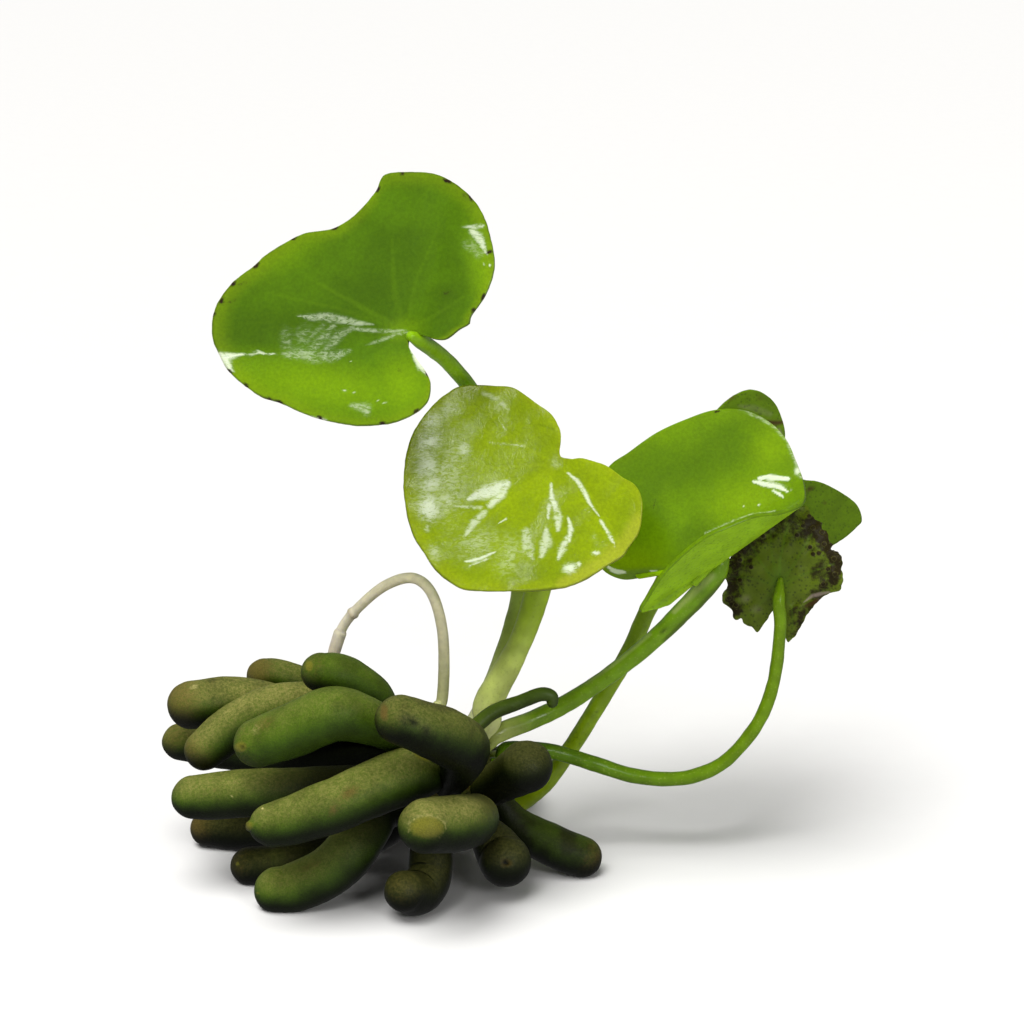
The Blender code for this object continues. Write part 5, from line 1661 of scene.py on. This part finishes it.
def leaf_dark(purple: Finish, green: Finish) -> Leaf:
    """The small old leaf, whose purple-brown underside faces front, pocked and torn along its margin."""
    vein, painted_highlight, spot, deep, bright_tone_and_painted_light = Mark.VEIN, Mark.PAINTED_HIGHLIGHT, Mark.SPOT, Mark.DEEP, Mark.BRIGHT_TONE_AND_PAINTED_LIGHT
    pocks = tuple(
        Blot(Mark.PIT, right, down, 0.27, 0.25, 0.0, 0.08, 0.95, 0.3) for right, down in (
            (81.3, 52.8), (82.2, 53.2), (81.0, 54.7), (81.3, 55.4), (81.86, 55.3), (83.4, 55.86), (83.64, 55.14),
            (80.3, 52.6), (79.7, 53.5), (75.1, 56.7), (74.0, 56.0), (73.3, 55.3), (82.4, 54.4), (82.8, 56.9),
            (83.5, 57.4), (74.0, 58.0), (72.9, 59.8), (80.9, 51.6), (76.3, 53.6), (82.3, 58.4), (73.6, 60.5)))
    return OpenLeaf("leaf_dark", "leaf_purple_underside", (77.9, 58.0, 4.2), flat((
        (77.9, 60.9), (78.6, 63.9), (79.1, 64.0), (79.9, 63.0), (80.9, 61.2), (81.6, 60.3), (82.8, 59.4),
        (83.9, 59.1), (84.3, 58.3), (84.2, 56.9), (84.2, 55.9), (83.9, 55.3), (83.1, 54.95), (83.35, 54.4),
        (82.9, 54.0), (82.8, 53.3), (82.3, 52.9), (82.0, 52.1), (81.3, 51.7), (80.9, 51.0), (80.2, 50.6),
        (77.6, 51.0), (75.4, 52.4), (73.8, 54.4), (72.9, 56.2), (72.4, 57.6), (72.8, 58.6), (72.2, 59.5),
        (72.3, 60.3), (73.1, 60.8), (73.3, 61.6), (73.7, 62.0), (74.1, 61.9), (74.5, 62.5), (75.2, 62.7),
        (75.8, 63.2), (76.5, 62.2), (77.3, 61.1))),
        purple, green,
        creases=(Crease((79.6, 60.2), (82.8, 59.2), 0.5, 0.35),),
        marks=(
            Blot(bright_tone_and_painted_light, 78.0, 57.9, 1.1, 2.2, 0.0, strength=0.75, edge=1.4),
            Stroke(deep, ((79.4, 63.2, 1.0), (81.0, 60.3, 1.4), (83.0, 58.4, 1.8), (83.0, 55.4, 2.4), (81.4, 52.9, 2.6),
                          (78.6, 51.6, 2.6), (75.6, 53.4, 2.6), (73.8, 56.2, 2.4), (73.2, 58.8, 1.9),
                          (73.6, 61.0, 1.4)), 0.5, soft=1.0),
            Stroke(deep, ((83.4, 58.0, 0.8), (83.6, 56.0, 1.0), (82.6, 54.0, 1.2), (81.2, 52.4, 1.2)), 0.85, soft=1.0),
            Stroke(deep, ((75.4, 53.4, 1.0), (73.6, 56.4, 1.0), (73.0, 59.4, 0.8), (73.6, 61.2, 0.8)), 0.6, soft=1.0),
            Blot(deep, 78.6, 53.6, 4.6, 2.2, 0.0, strength=0.42, edge=1.4),
            Blot(deep, 82.0, 57.4, 2.4, 2.4, 0.0, strength=0.55, edge=1.4),
            Blot(deep, 75.8, 61.0, 1.2, 1.0, 0.0, strength=0.4, edge=1.3),
            Blot(deep, 79.5, 60.8, 0.7, 2.0, -25.0, strength=0.55, edge=1.3),
            # Painted highlights along the crease and on the lower left.
            Stroke(painted_highlight, ((80.4, 60.2, 0.06), (81.2, 59.6, 0.2), (82.0, 59.4, 0.22), (82.9, 59.2, 0.1)), 0.5),
            Blot(painted_highlight, 74.6, 59.9, 0.5, 0.4, strength=0.22, edge=1.4),
            Blot(painted_highlight, 75.6, 60.9, 0.6, 0.4, strength=0.18, edge=1.4),
            Stroke(spot, ((80.6, 60.6, 0.2), (82.0, 60.0, 0.25), (83.2, 59.4, 0.15)), 0.8),
            Stroke(vein, ((77.9, 58.6, 0.3), (78.0, 56.0, 0.14), (78.8, 52.4, 0.1)), 0.35),
            Stroke(vein, ((77.9, 58.6, 0.3), (77.2, 55.6, 0.14), (77.0, 52.6, 0.1)), 0.22),
            Stroke(vein, ((77.9, 58.6, 0.3), (76.2, 56.4, 0.14), (74.8, 54.0, 0.1)), 0.25),
            Stroke(vein, ((77.9, 58.6, 0.3), (79.4, 56.4, 0.14), (81.2, 53.4, 0.1)), 0.25),
            Stroke(vein, ((77.9, 58.6, 0.3), (80.4, 57.4, 0.14), (83.4, 56.4, 0.1)), 0.22),
            Stroke(vein, ((77.9, 58.6, 0.3), (75.4, 57.9, 0.14), (73.0, 57.6, 0.1)), 0.2),
            Stroke(vein, ((77.9, 58.6, 0.3), (76.0, 60.4, 0.14), (74.6, 61.8, 0.1)), 0.18),
            Stroke(vein, ((77.9, 58.6, 0.3), (79.2, 60.8, 0.14), (79.3, 63.2, 0.1)), 0.22)) + pocks,
        lean_up=0.15, lean_right=-0.15, dish=-1.0, reach=6.5, ripple=0.25, ripple_mm=1.1, ragged=0.03)


def leaves() -> list[Leaf]:
    """The five leaves with their finishes."""
    green = LeafUpper("waxy_leaf_green", 0.34, 0.12, 0.12, 0.2, browned=0.7)
    yellow = LeafUpper("waxy_leaf_yellow_green", 0.3, 0.2, 0.15, 0.2, browned=0.3, deep="#6A7F00", middle="#7E9300",
                       bright_tone_and_painted_light="#919925", rim="#909B13", vein="#8CA008", wrinkle=0.3, rim_share=0.3)
    bright_green = LeafUpper("waxy_folded_leaf_green", 0.32, 0.1, 0.1, 0.2, browned=0.15, deep="#446200", middle="#5E8000",
                             bright_tone_and_painted_light="#769600", rim="#6C8B04", wrinkle=0.05, rim_share=0.2)
    under = LeafUnder("leaf_underside", 0.5, 0.06, 0.2, 0.15, 0.25, ageing_and_painted_highlight=0.0)
    olive = LeafUnder("olive_leaf_underside", 0.5, 0.05, 0.2, 0.1, 0.2, ground="#506C02", dot="#3C5206", vein="#577208")
    purple = LeafUnder("purple_leaf_underside", 0.5, 0.08, 0.25, 0.05, 0.25, ground="#54650A", dot="#343E0A")
    return [
        leaf_left(green, under),
        leaf_middle(yellow, under),
        leaf_folded(bright_green, under),
        leaf_hidden(olive, green),
        leaf_dark(purple, green),
    ]


def main() -> None:
    """Builds the studio and every piece, and reports each one."""
    layout = Eye(Vector((0.0, 0.0, 0.0)))
    low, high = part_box("crown")
    shift = (low + high) / 2.0 / MM - layout.place(*Crown(layout).sight)
    eye = Eye(shift)
    Studio(eye).build()
    crown = Crown(eye)
    crown.dress(crown.build())
    skin = TuberSkin("tuber_skin", 0.62, 0.04, 0.3, 0.02, 0.3).material()
    for tuber in tubers():
        Piece.show(tuber.node, tuber.build(crown), "tuber_skin", [skin])
    for stalk in stalks():
        stalk.dress(stalk.build(crown))
    root = pale_root()
    root.dress(root.build(crown))
    for leaf in leaves():
        leaf.dress(leaf.build(eye))


if __name__ == "__main__":
    logging.basicConfig(level=logging.INFO, format="%(message)s")
    main()
